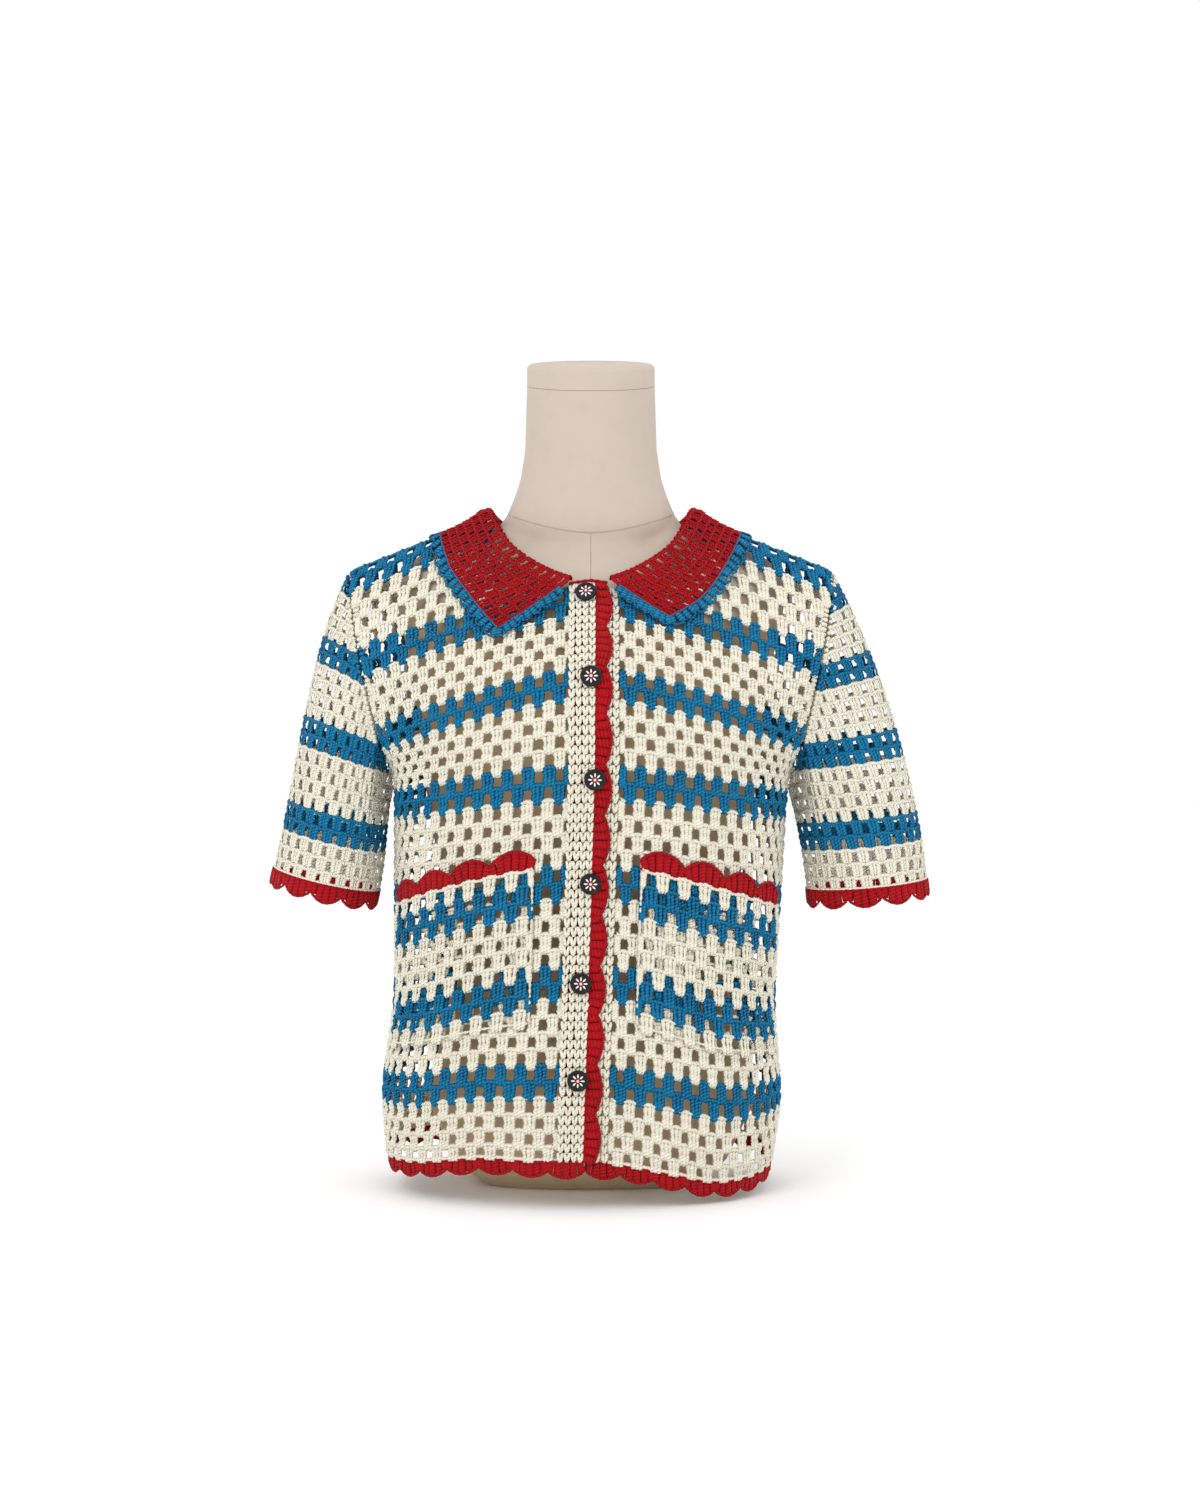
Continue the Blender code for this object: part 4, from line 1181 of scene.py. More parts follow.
@dataclass
class PlainStitches:
    """Single crochet: rows of small V stitches, closely packed."""

    a_edges: tuple[float, float]
    b_edges: tuple[float, float]
    columns: int
    rows: int
    yarn: Yarn
    stitch: float
    lift: float = 0.0
    seed: int = 5

    leg_rings = np.array([0.0, 0.35, 0.75, 1.0])
    ring_width = np.array([0.6, 1.0, 1.0, 0.6])
    leg_half, leg_deep, leg_lift = 0.27, 0.00120, 0.0006

    def build(self, mesh: YarnMesh, surface: Surface) -> None:
        """Lays both legs of every V: a = middle + leg * (0.06 + 0.30 t) columns, rising with t.

        Args:
            mesh: The mesh that takes the yarn.
            surface: The sheet that the stitches lie on.
        """
        chance = np.random.default_rng(self.seed)
        column = (self.a_edges[1] - self.a_edges[0]) / self.columns
        row = (self.b_edges[1] - self.b_edges[0]) / self.rows
        middle_a = self.a_edges[0] + (np.arange(self.columns) + 0.5) * column
        middle_b = self.b_edges[0] + (np.arange(self.rows) + 0.5) * row
        grid_a, grid_b = (grid.reshape(-1, 1, 1) for grid in np.meshgrid(middle_a, middle_b))
        leg = np.array([-1.0, 1.0])[:, None]
        t = self.leg_rings
        wander = chance.normal(0, 0.03, (len(grid_a), 2, 1))
        a = grid_a + leg * (0.06 + 0.30 * t) * column + wander * column
        b = grid_b + (t * 1.05 - 0.55 + wander) * row
        lift = self.lift + self.leg_lift * np.sin(math.pi * t)
        width = self.ring_width * chance.normal(1, 0.06, (len(grid_a), 2, 1))
        half, deep = self.stitch * self.leg_half * width, self.leg_deep * width
        mesh.tubes(surface, a, b, lift, half, deep, self.yarn.value, 5)


def striped(row: Array) -> Array:
    """Yarn number of a body row counted from the hem: two blue rows follow each four cream ones."""
    return np.where(np.mod(row, 6) >= 4, Yarn.BLUE.value, Yarn.CREAM.value)


def dress(obj: bpy.types.Object, node: str) -> None:
    """Lets a piece ride on the body and stand for its solid.

    Args:
        obj: The piece.
        node: The solid's node.
    """
    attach(obj, "root")
    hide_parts(node)
    LOG.info("%s: %d faces", obj.name, len(obj.data.polygons))


@dataclass
class Wardrobe:
    """The shared surfaces and finishes that every piece of cloth is made with."""

    mantle: Mantle
    finishes: list[bpy.types.Material]

    def cloth(
        self, mesh: YarnMesh, node: str, slot: str, flat: tuple[float, float],
        area: float | None = None, held: str = "draped",
        rests_on: tuple[str, ...] = ("dress_form_body",)
    ) -> None:
        """Finishes a yarn mesh as the sheet that stands for a node.

        Args:
            mesh: The gathered yarn.
            node: The solid's node.
            slot: The record's material slot; not used.
            flat: Width and length of the flat cut; not used.
            area: Area of the flat cut where it isn't a rectangle; not used.
            held: How the sheet is held; not used.
            rests_on: What it lies on or hangs from; not used.
        """
        obj = mesh.finish(node + "_crochet", self.finishes)
        dress(obj, node)


@dataclass
class Body:
    """The two fronts and the back, in striped granny clusters."""

    wardrobe: Wardrobe
    rows: int = 42
    hem_beads: int = 44
    join_step: float = 0.33
    join_length: float = 0.0060
    join_half: float = 0.0022
    join_lap: float = 0.0004
    band_inset: float = 0.0012
    edge_inset: float = 0.0008
    line_inset: float = 0.0010
    over_neck: float = 0.10
    over_edge: float = 0.12
    below_shoulder: float = 0.05

    def join_armhole(self, mesh: YarnMesh, side: int, level: Array, yarn: Array) -> None:
        """Closes an armhole with short stitches that run across the cloth out to the seam.

        Args:
            mesh: The mesh that takes the yarn.
            side: -1 for the wearer's right and 1 for the left.
            level: Row of each stitch.
            yarn: Number of each stitch's yarn.
        """
        mantle = self.wardrobe.mantle
        edge = mantle.reach(side, level[:, None]) + self.join_lap
        across = side * (edge - self.join_length * (1 - JOIN_RINGS))
        mesh.joins(mantle, across, level[:, None], self.join_half, yarn)

    def front_limits(self, side: int, row: Array) -> tuple[Array, Array]:
        """Reads how far a front goes.

        Args:
            side: -1 for the wearer's right and 1 for the left.
            row: Rows to read.

        Returns:
            Inner and outer distance across.
        """
        start = PANEL_START[side]
        inner = np.where(row > BAND_TOP_ROW, neckline(row) + NECK_MARGIN, start)
        outer = self.wardrobe.mantle.reach(side, row) - ARMHOLE_MARGIN
        return np.maximum(inner, start), outer

    def front(self, side: int, name: str) -> None:
        """Builds one front, from its band to the side seam and the armhole.

        Args:
            side: -1 for the wearer's right and 1 for the left.
            name: The solid's node.
        """
        mantle = self.wardrobe.mantle
        start = PANEL_START[side]
        row = np.arange(self.rows)[:, None]
        inner, outer = self.front_limits(side, row + 0.4)
        count = round((outer[0, 0] - start) / PITCH)
        pitch = (np.where(row < UNDERARM_ROW, outer, outer[int(UNDERARM_ROW)]) - start) / count
        column = np.arange(-1, count + 4)[None, :]
        a = start + (column + 0.5 + 0.5 * (row % 2)) * pitch
        kept = (a > inner - self.over_neck * pitch) & (a < outer + self.over_edge * pitch)
        a, b, pitch, inner, outer = chosen(kept, a, row, pitch, inner, outer)
        ends = np.stack([side * (inner + self.band_inset), side * (outer - self.edge_inset)])
        low, high = np.sort(ends, axis=0)
        mesh = YarnMesh()
        Clusters(
            side * a, b, pitch, 1.0, low, high, striped(b),
            last_b=SHOULDER_ROW - self.below_shoulder, first_b=0.0, seed=11 + side,
        ).build(mesh, mantle)
        level = np.arange(UNDERARM_ROW + 0.2, SHOULDER_ROW, self.join_step)
        self.join_armhole(mesh, side, level, striped(level))
        end = float(mantle.reach(side, 0.0)) - self.line_inset
        line = side * np.linspace(start, end, 2 * self.hem_beads + 1)
        mesh.rope(mantle, line[::-side], LINE_ROW, Yarn.CREAM)
        fine = np.arange(0, SHOULDER_ROW, 0.5) + 0.25
        low, high = self.front_limits(side, fine)
        area = float(((high - low) * 0.5 * ROW_HEIGHT).sum())
        flat = (float((high - low).max()), SHOULDER_ROW * ROW_HEIGHT)
        self.wardrobe.cloth(mesh, name, "cream_yarn", flat, area)

    def back(self) -> None:
        """Builds the back, with both its shoulders and the back of the neck cut out."""
        mantle = self.wardrobe.mantle
        row = np.arange(self.rows)[:, None]
        level = BACK_HEM_ROW - row - 0.4
        reach = (mantle.reach(-1, level) + mantle.reach(1, level)) / 2 - ARMHOLE_MARGIN
        half_count = round(reach[0, 0] / PITCH)
        pitch = np.where(row < UNDERARM_ROW, reach, reach[int(UNDERARM_ROW)]) / half_count
        column = np.arange(-half_count - 3, half_count + 3)[None, :]
        a = (column + 0.5 + 0.5 * (row % 2)) * pitch
        in_neck = level < SHOULDER_ROW + BACK_NECK_ROWS + 0.3
        inner = np.where(in_neck, neckline(level) + NECK_MARGIN, 0.0)
        kept = np.abs(a) < reach + self.over_edge * pitch
        kept &= np.abs(a) >= inner - self.over_neck * pitch
        a, b, pitch, reach, inner = chosen(kept, a, row, pitch, reach, inner)
        inside = np.where(inner > 0, inner + self.line_inset, -1.0)
        edge = reach - self.edge_inset
        low = np.where(a > 0, np.where(inside > 0, inside, -reach), -edge)
        high = np.where(a > 0, edge, np.where(inside > 0, -inside, reach))
        mesh = YarnMesh()
        Clusters(
            a, BACK_HEM_ROW - b, pitch, -1.0, low, high, striped(b),
            last_b=SHOULDER_ROW + self.below_shoulder, first_b=BACK_HEM_ROW,
            chain_rings=6, seed=23,
        ).build(mesh, mantle)
        level = np.arange(SHOULDER_ROW + 0.2, BACK_UNDERARM_ROW, self.join_step)
        for side in (-1, 1):
            self.join_armhole(mesh, side, level, striped(BACK_HEM_ROW - level))
        right, left = (float(mantle.reach(side, BACK_HEM_ROW)) for side in (-1, 1))
        ends = (self.line_inset - right, left - self.line_inset)
        line = np.linspace(*ends, 4 * self.hem_beads + 1)
        mesh.rope(mantle, line, BACK_HEM_ROW - LINE_ROW, Yarn.CREAM)
        fine = np.arange(SHOULDER_ROW, BACK_HEM_ROW, 0.5) + 0.25
        width = mantle.reach(-1, fine) + mantle.reach(1, fine)
        area = float(((width - 2 * neckline(fine)) * 0.5 * ROW_HEIGHT).sum())
        flat = (float(width.max()), SHOULDER_ROW * ROW_HEIGHT)
        self.wardrobe.cloth(mesh, "back", "cream_yarn", flat, area)

    def build(self) -> None:
        """Builds the fronts and the back."""
        self.front(-1, "front_right")
        self.front(1, "front_left")
        self.back()


@dataclass
class BandSurface(Surface):
    """The mantle read with its a counted along an edge in scallops, and b in metres out of it."""

    mantle: Mantle
    start: tuple[float, float]
    stride: tuple[float, float]
    out: tuple[float, float]
    base_lift: float = 0.0

    def place(self, a: Array, b: Array, lift: Array) -> tuple[Array, Array]:
        """Points at (across, row) = start + a * stride + b * out, lifted by the edge's own lift.

        Args:
            a: Scallops along the edge.
            b: Metres out of the edge.
            lift: Distance out of the sheet.

        Returns:
            Points and unit normals.
        """
        across = self.start[0] + a * self.stride[0] + b * self.out[0]
        row = self.start[1] + a * self.stride[1] + b * self.out[1]
        return self.mantle.place(across, row, self.layer(across) + lift)

    def layer(self, across: Array) -> Array:
        """Lift of the edging's own layer."""
        return self.base_lift + 0 * across


class SteppedHem(BandSurface):
    """The top front's hem edging, which steps from the under band's layer down to the cloth."""

    step_start, step_width = -0.042, 0.024

    def layer(self, across: Array) -> Array:
        """Lift that falls from one layer to none over the step."""
        return LAYER * np.clip((across - self.step_start) / self.step_width, 0, 1)


@dataclass
class Front:
    """The button bands, the front edgings and the hem edgings."""

    wardrobe: Wardrobe
    scallops: int = 12
    edging_root: float = 0.58
    band_row: float = 0.0078
    hem_scallop: float = 0.030
    hem_gap: float = 0.0006
    hem_root: float = 0.0070
    hem_tip: float = 0.0130
    hem_inset: float = 0.0004
    hem_lap: float = 0.018

    def band(self, name: str, edges: tuple[float, float], lift: float, columns: int) -> None:
        """Builds one band in plain stitches.

        Args:
            name: The solid's node.
            edges: Distance across of its two edges.
            lift: Lift of its layer.
            columns: Stitches across it.
        """
        mesh = YarnMesh()
        width, length = edges[1] - edges[0], BAND_TOP_ROW * ROW_HEIGHT
        rows = round(length / self.band_row)
        ends = (0.05, BAND_TOP_ROW - 0.05)
        stitches = PlainStitches(edges, ends, columns, rows, Yarn.CREAM, width / columns, lift)
        stitches.build(mesh, self.wardrobe.mantle)
        self.wardrobe.cloth(
            mesh, name, "cream_yarn", (width, length),
            held="hung", rests_on=("front_right", "front_left"),
        )

    def edging(self, name: str, root: float, tip: float, lift: float) -> None:
        """Builds the scalloped edging up one front edge.

        The top front's edging goes on as a row of stitches that closes the neckline between the
        collar's two ends.

        Args:
            name: The solid's node.
            root: Distance across of its foot.
            tip: Distance across of its tips.
            lift: Lift of its layer.
        """
        mesh = YarnMesh()
        mantle = self.wardrobe.mantle
        stride = BAND_TOP_ROW / self.scallops
        depth = abs(tip - root)
        out = (math.copysign(1, tip - root), 0.0)
        sheet = BandSurface(mantle, (root, 0.0), (0.0, stride), out, lift)
        scallops = Scallops(
            self.scallops, stride * ROW_HEIGHT, self.edging_root * depth, depth, Yarn.RED, posts=6
        )
        scallops.build(mesh, sheet)
        if lift > 0:
            line = np.linspace(TOP_BAND[0], 0.8 * tip, 13)
            mesh.rope(mantle, line, BAND_TOP_ROW + 0.05, Yarn.RED, lift=lift + 0.0004, bead=0.0007)
        flat = (depth + WORKED_IN, BAND_TOP_ROW * ROW_HEIGHT)
        band = name.replace("front_edging", "button_band")
        self.wardrobe.cloth(mesh, name, "red_yarn", flat, held="hung", rests_on=(band,))

    def hem(
        self, name: str, rests_on: str, start: float, end: float,
        kind: type[BandSurface] = BandSurface
    ) -> None:
        """Builds one hem's scalloped edging.

        Args:
            name: The solid's node.
            rests_on: The panel that it hangs from.
            start: Distance across of its one end.
            end: Distance across of its other end.
            kind: The sheet that it lies on.
        """
        mesh = YarnMesh()
        length = abs(end - start)
        count = max(2, round(length / self.hem_scallop))
        down = 1 if rests_on == "back" else -1
        base = (BACK_HEM_ROW if rests_on == "back" else 0.0) + down * self.hem_gap / ROW_HEIGHT
        stride, out = ((end - start) / count, 0.0), (0.0, down / ROW_HEIGHT)
        sheet = kind(self.wardrobe.mantle, (start, base), stride, out)
        scallops = Scallops(count, length / count, self.hem_root, self.hem_tip, Yarn.RED)
        scallops.build(mesh, sheet)
        flat = (length, self.hem_tip + WORKED_IN)
        self.wardrobe.cloth(mesh, name, "red_yarn", flat, held="hung", rests_on=(rests_on,))

    def build(self) -> None:
        """Builds both bands and all the edgings of the body."""
        self.band("button_band_right", TOP_BAND, LAYER, 4)
        self.band("button_band_left", UNDER_BAND, 0.0, 5)
        self.edging("front_edging_right", *TOP_EDGING, LAYER)
        self.edging("front_edging_left", *UNDER_EDGING, UNDER_EDGING_LIFT)
        right, left = (float(self.wardrobe.mantle.reach(side, 0.0)) for side in (-1, 1))
        right, left = self.hem_inset - right, left - self.hem_inset
        self.hem("hem_edging_right", "front_right", right, TOP_BAND[1], SteppedHem)
        self.hem("hem_edging_left", "front_left", UNDER_BAND[1] - self.hem_lap, left)
        self.hem("hem_edging_back", "back", right, left)


@dataclass
class SleeveEdge(Surface):
    """A sleeve below its cuff line, read by scallops round it and metres down."""

    sleeve: SleeveSurface
    count: int

    def place(self, a: Array, b: Array, lift: Array) -> tuple[Array, Array]:
        """The sleeve's own sheet, carried straight on below the cuff."""
        return self.sleeve.place(a / self.count, -b / self.sleeve.row_height, lift)


@dataclass
class Sleeve:
    """One short sleeve with its scalloped cuff."""

    wardrobe: Wardrobe
    name: str
    surface: SleeveSurface
    clusters: int = 22
    phase: float = 0.25
    joins: int = 92
    join_place: float = 0.997
    join_rows: float = 0.42
    join_half: float = 0.0024
    scallops: int = 11
    cuff_root: float = 0.0075
    cuff_tip: float = 0.0150

    def rows(self) -> int:
        """Rows from the cuff to the top of the sleeve."""
        return math.ceil(float(self.surface.length(np.array(0.5))) / self.surface.row_height)

    def yarn(self, row: Array) -> Array:
        """Yarn number of a row: three cream at the cuff, then two blue after each four cream."""
        blue = np.where(np.mod(row - 3, 6) < 2, Yarn.BLUE.value, Yarn.CREAM.value)
        return blue * (row >= 3)

    def build(self) -> None:
        """Builds the sleeve and its edging."""
        around, along = np.meshgrid(np.linspace(0, 1, 121), np.linspace(0, 1, 60), indexing="ij")
        grid = self.surface.shape(around, along)
        girths = np.linalg.norm(np.diff(grid, axis=0), axis=2).sum(axis=0)
        length = float(self.surface.length(around[:, 0]).max())
        self.build_cloth((float(girths.max()), length), grid_area(grid))
        self.build_cuff(float(girths[-1]))

    def build_cloth(self, flat: tuple[float, float], area: float) -> None:
        """Builds the sleeve's cloth, with the stitches that join it to the body.

        Args:
            flat: Width and length of the flat cut.
            area: Its area.
        """
        surface = self.surface
        row = np.arange(self.rows())[:, None]
        column = np.arange(self.clusters)[None, :]
        a = (column + 0.5 * (row % 2) + self.phase) / self.clusters
        kept = (row + 0.55) * surface.row_height < surface.length(a)
        a, b = chosen(kept, a, row)
        mesh = YarnMesh()
        Clusters(
            a, b, 1 / self.clusters, 1.0, a - 1, a + 1, self.yarn(b),
            seed=31 + surface.side, first_b=0.0, scale=0.92, fat=1.17, depth=0.52, tip=-0.23,
            spread=(0.140, 0.085),
        ).build(mesh, surface)
        middle = (np.arange(self.joins)[:, None] + 0.5) / self.joins
        seam = surface.length(middle) / surface.row_height * self.join_place
        level = seam - self.join_rows * (1 - JOIN_RINGS)
        mesh.joins(surface, middle, level, self.join_half, self.yarn(seam[:, 0] - 0.3))
        mesh.rope(surface, np.linspace(0, 1, 121), LINE_ROW, Yarn.CREAM, thin=0.0012)
        self.wardrobe.cloth(
            mesh, "sleeve_" + self.name, "cream_yarn", flat, area,
            held="hung", rests_on=("front_" + self.name, "back"),
        )

    def build_cuff(self, girth: float) -> None:
        """Builds the cuff's scalloped edging.

        Args:
            girth: Length of the cuff, all round.
        """
        mesh = YarnMesh()
        count = self.scallops
        scallops = Scallops(count, girth / count, self.cuff_root, self.cuff_tip, Yarn.RED)
        scallops.build(mesh, SleeveEdge(self.surface, count))
        self.wardrobe.cloth(
            mesh, "cuff_edging_" + self.name, "red_yarn", (girth, self.cuff_tip + WORKED_IN),
            held="hung", rests_on=("sleeve_" + self.name,),
        )


@dataclass
class PocketEdge(Surface):
    """A pocket's top edge, read by scallops along it and metres up."""

    pocket: PocketSurface
    count: int

    def place(self, a: Array, b: Array, lift: Array) -> tuple[Array, Array]:
        """Points of the pocket's sheet carried on above its top.

        Args:
            a: Scallops along the edge.
            b: Metres up from it.
            lift: Distance out of the sheet.

        Returns:
            Points and unit normals.
        """
        bottom, top = read_table(POCKET, a / self.count)
        share = 1 + b / ((top - bottom) * ROW_HEIGHT)
        return self.pocket.place(a / self.count, share, lift)


@dataclass
class Pocket:
    """One patch pocket with its scalloped top."""

    wardrobe: Wardrobe
    side: int
    name: str
    rows: int = 10
    blue_rows: tuple[int, ...] = (1, 2, 7, 8)
    clusters: int = 8
    scallops: int = 4
    sewn_in: float = 0.008
    side_inset: float = 0.012
    edging_root: float = 0.0077
    edging_tip: float = 0.0170

    def sew_on(self, mesh: YarnMesh, surface: Surface) -> None:
        """Lays the small overcast stitches down both sides of the patch and along its bottom.

        Args:
            mesh: The mesh that takes the yarn.
            surface: The pocket's sheet.
        """
        share = np.linspace(0.01, 0.99, 53)
        for a, b in ((self.sewn_in, share), (1 - self.sewn_in, share), (share, self.sewn_in)):
            mesh.rope(surface, a, b, Yarn.CREAM, lift=0.0012, thin=0.0007, bead=0.0006)

    def build(self) -> None:
        """Builds the patch in stripes, and its edging."""
        surface = PocketSurface(self.wardrobe.mantle, self.side)
        row = np.arange(self.rows)[:, None]
        column = np.arange(-1, self.clusters + 1)[None, :]
        a = (column + 0.5 + 0.5 * (row % 2)) / self.clusters
        a, b = chosen((a > -0.01) & (a < 1.01), a, row)
        yarn = np.where(np.isin(b, self.blue_rows), Yarn.BLUE.value, Yarn.CREAM.value)
        mesh = YarnMesh()
        Clusters(
            a, b / self.rows, 1 / self.clusters, 1 / self.rows,
            self.side_inset, 1 - self.side_inset, yarn,
            last_b=0.998, seed=41 + self.side, scale=0.96,
        ).build(mesh, surface)
        self.sew_on(mesh, surface)
        below = ("front_" + self.name,)
        flat = (POCKET_WIDTH, ROW_HEIGHT * (POCKET[1, 2] - POCKET[1, 1]))
        self.wardrobe.cloth(
            mesh, "pocket_" + self.name, "cream_yarn", flat, held="laid", rests_on=below
        )
        mesh = YarnMesh()
        scallops = Scallops(
            self.scallops, POCKET_WIDTH / self.scallops, self.edging_root, self.edging_tip,
            Yarn.RED, posts=6,
        )
        scallops.build(mesh, PocketEdge(surface, self.scallops))
        flat = (POCKET_WIDTH, self.edging_tip + WORKED_IN)
        self.wardrobe.cloth(
            mesh, "pocket_edging_" + self.name, "red_yarn", flat, held="laid", rests_on=below
        )


class CollarRim(Surface):
    """The collar's edge all the way round, read by scallops along it and metres out."""

    end_start = 0.16
    counts = (3, 26, 3)
    points_each = 4
    clearance = 0.0003
    step_a = 0.02
    step_b = 0.0006

    def __init__(self, collar: CollarSurface) -> None:
        """Lays out the line: up the right front end, round the outer edge and down the left end.

        Args:
            collar: The collar's sheet.
        """
        self.mantle = collar.mantle
        inner, outer = collar.edges(np.linspace(-1, 1, 193))
        spread = np.linspace(self.end_start, 1, 12)[:, None]
        ends = [inner[k] + (outer[k] - inner[k]) * spread for k in (0, -1)]
        legs = []
        for leg, count in zip((ends[0], outer, ends[1][::-1]), self.counts):
            flat = self.resample(leg * [1.0, ROW_HEIGHT], count * self.points_each)
            legs.append(flat if not legs else flat[1:])
        line = np.concatenate(legs)
        side = unit(np.diff(line, axis=0))[:, ::-1] * [-1, 1]
        before, after = np.concatenate([side[:1], side]), np.concatenate([side, side[-1:]])
        outward = (before + after) / (1 + np.sum(before * after, axis=1, keepdims=True))
        middle = np.array([0.0, SHOULDER_ROW * ROW_HEIGHT])
        half = len(line) // 2
        outward *= np.sign(np.sum((line[half] - middle) * outward[half]))
        up_the_end = np.linspace(self.end_start, 1, self.counts[0] * self.points_each + 1)
        lifts = np.interp(up_the_end, COLLAR_FOLD[2:, 1], COLLAR_FOLD[2:, 3])
        level = np.full(self.counts[1] * self.points_each + 1, COLLAR_FOLD[-1, 3])
        self.lifts = np.concatenate([lifts[:-1], level, lifts[-2::-1]])
        self.line, self.outward = line + outward * self.clearance, outward
        self.knots = np.arange(len(line)) / self.points_each

    @staticmethod
    def resample(path: Array, count: int) -> Array:
        """Spaces points evenly along a path.

        Args:
            path: The path's points.
            count: Number of steps.

        Returns:
            count + 1 points.
        """
        travelled = travelled_along(path)
        share = np.linspace(0, travelled[-1], count + 1)
        return np.stack([np.interp(share, travelled, path[:, k]) for k in range(2)], axis=1)

    @property
    def length(self) -> float:
        """Length of the whole line."""
        return float(np.linalg.norm(np.diff(self.line, axis=0), axis=1).sum())

    def place(self, a: Array, b: Array, lift: Array) -> tuple[Array, Array]:
        """Points of the line at a, moved out by b in the sheet and lifted.

        Args:
            a: Scallops along the line.
            b: Metres out of it.
            lift: Distance out of the sheet.

        Returns:
            Points and unit normals.
        """
        flat = [np.interp(a, self.knots, self.line[:, k]) for k in range(2)]
        out = [np.interp(a, self.knots, self.outward[:, k]) for k in range(2)]
        lift = np.interp(a, self.knots, self.lifts) + lift
        return self.mantle.place(flat[0] + out[0] * b, (flat[1] + out[1] * b) / ROW_HEIGHT, lift)


@dataclass
class Collar:
    """The round collar in fine red clusters, with its blue scalloped edging."""

    wardrobe: Wardrobe
    rows: int = 7
    pitch: float = 0.0113
    end_inset: float = 0.0010
    edge_inset: float = 0.0006
    edging_root: float = 0.0048
    edging_tip: float = 0.0092

    def build(self) -> None:
        """Builds the collar's cloth and its edging."""
        surface = CollarSurface(self.wardrobe.mantle)
        surface.facing = -1.0
        length, height = surface.length, surface.height
        rise = height / self.rows
        count = round(length / self.pitch)
        pitch = length / count
        row = np.arange(self.rows)[:, None]
        column = np.arange(-1, count + 1)[None, :]
        a = (column + 0.5 + 0.5 * (row % 2)) * pitch
        a, b = chosen((a > -self.end_inset) & (a < length + self.end_inset), a, row)
        mesh = YarnMesh()
        Clusters(
            a, b * rise, pitch, rise, self.end_inset, length - self.end_inset, Yarn.RED.value,
            last_b=height - self.edge_inset, scale=0.71, spread=(0.235, 0.050), tip=-0.14,
            fat=1.06, chain_rings=6, seed=53,
        ).build(mesh, surface)
        self.wardrobe.cloth(
            mesh, "collar", "red_yarn", (length, height),
            held="folded", rests_on=("front_right", "front_left", "back"),
        )
        rim = CollarRim(surface)
        mesh = YarnMesh()
        total = sum(rim.counts)
        scallops = Scallops(
            total, rim.length / total, self.edging_root, self.edging_tip, Yarn.BLUE,
            posts=4, scale=0.80, lobes=2,
        )
        scallops.build(mesh, rim)
        flat = (rim.length, self.edging_tip + WORKED_IN)
        self.wardrobe.cloth(
            mesh, "collar_edging", "blue_yarn", flat, held="laid", rests_on=("collar",)
        )


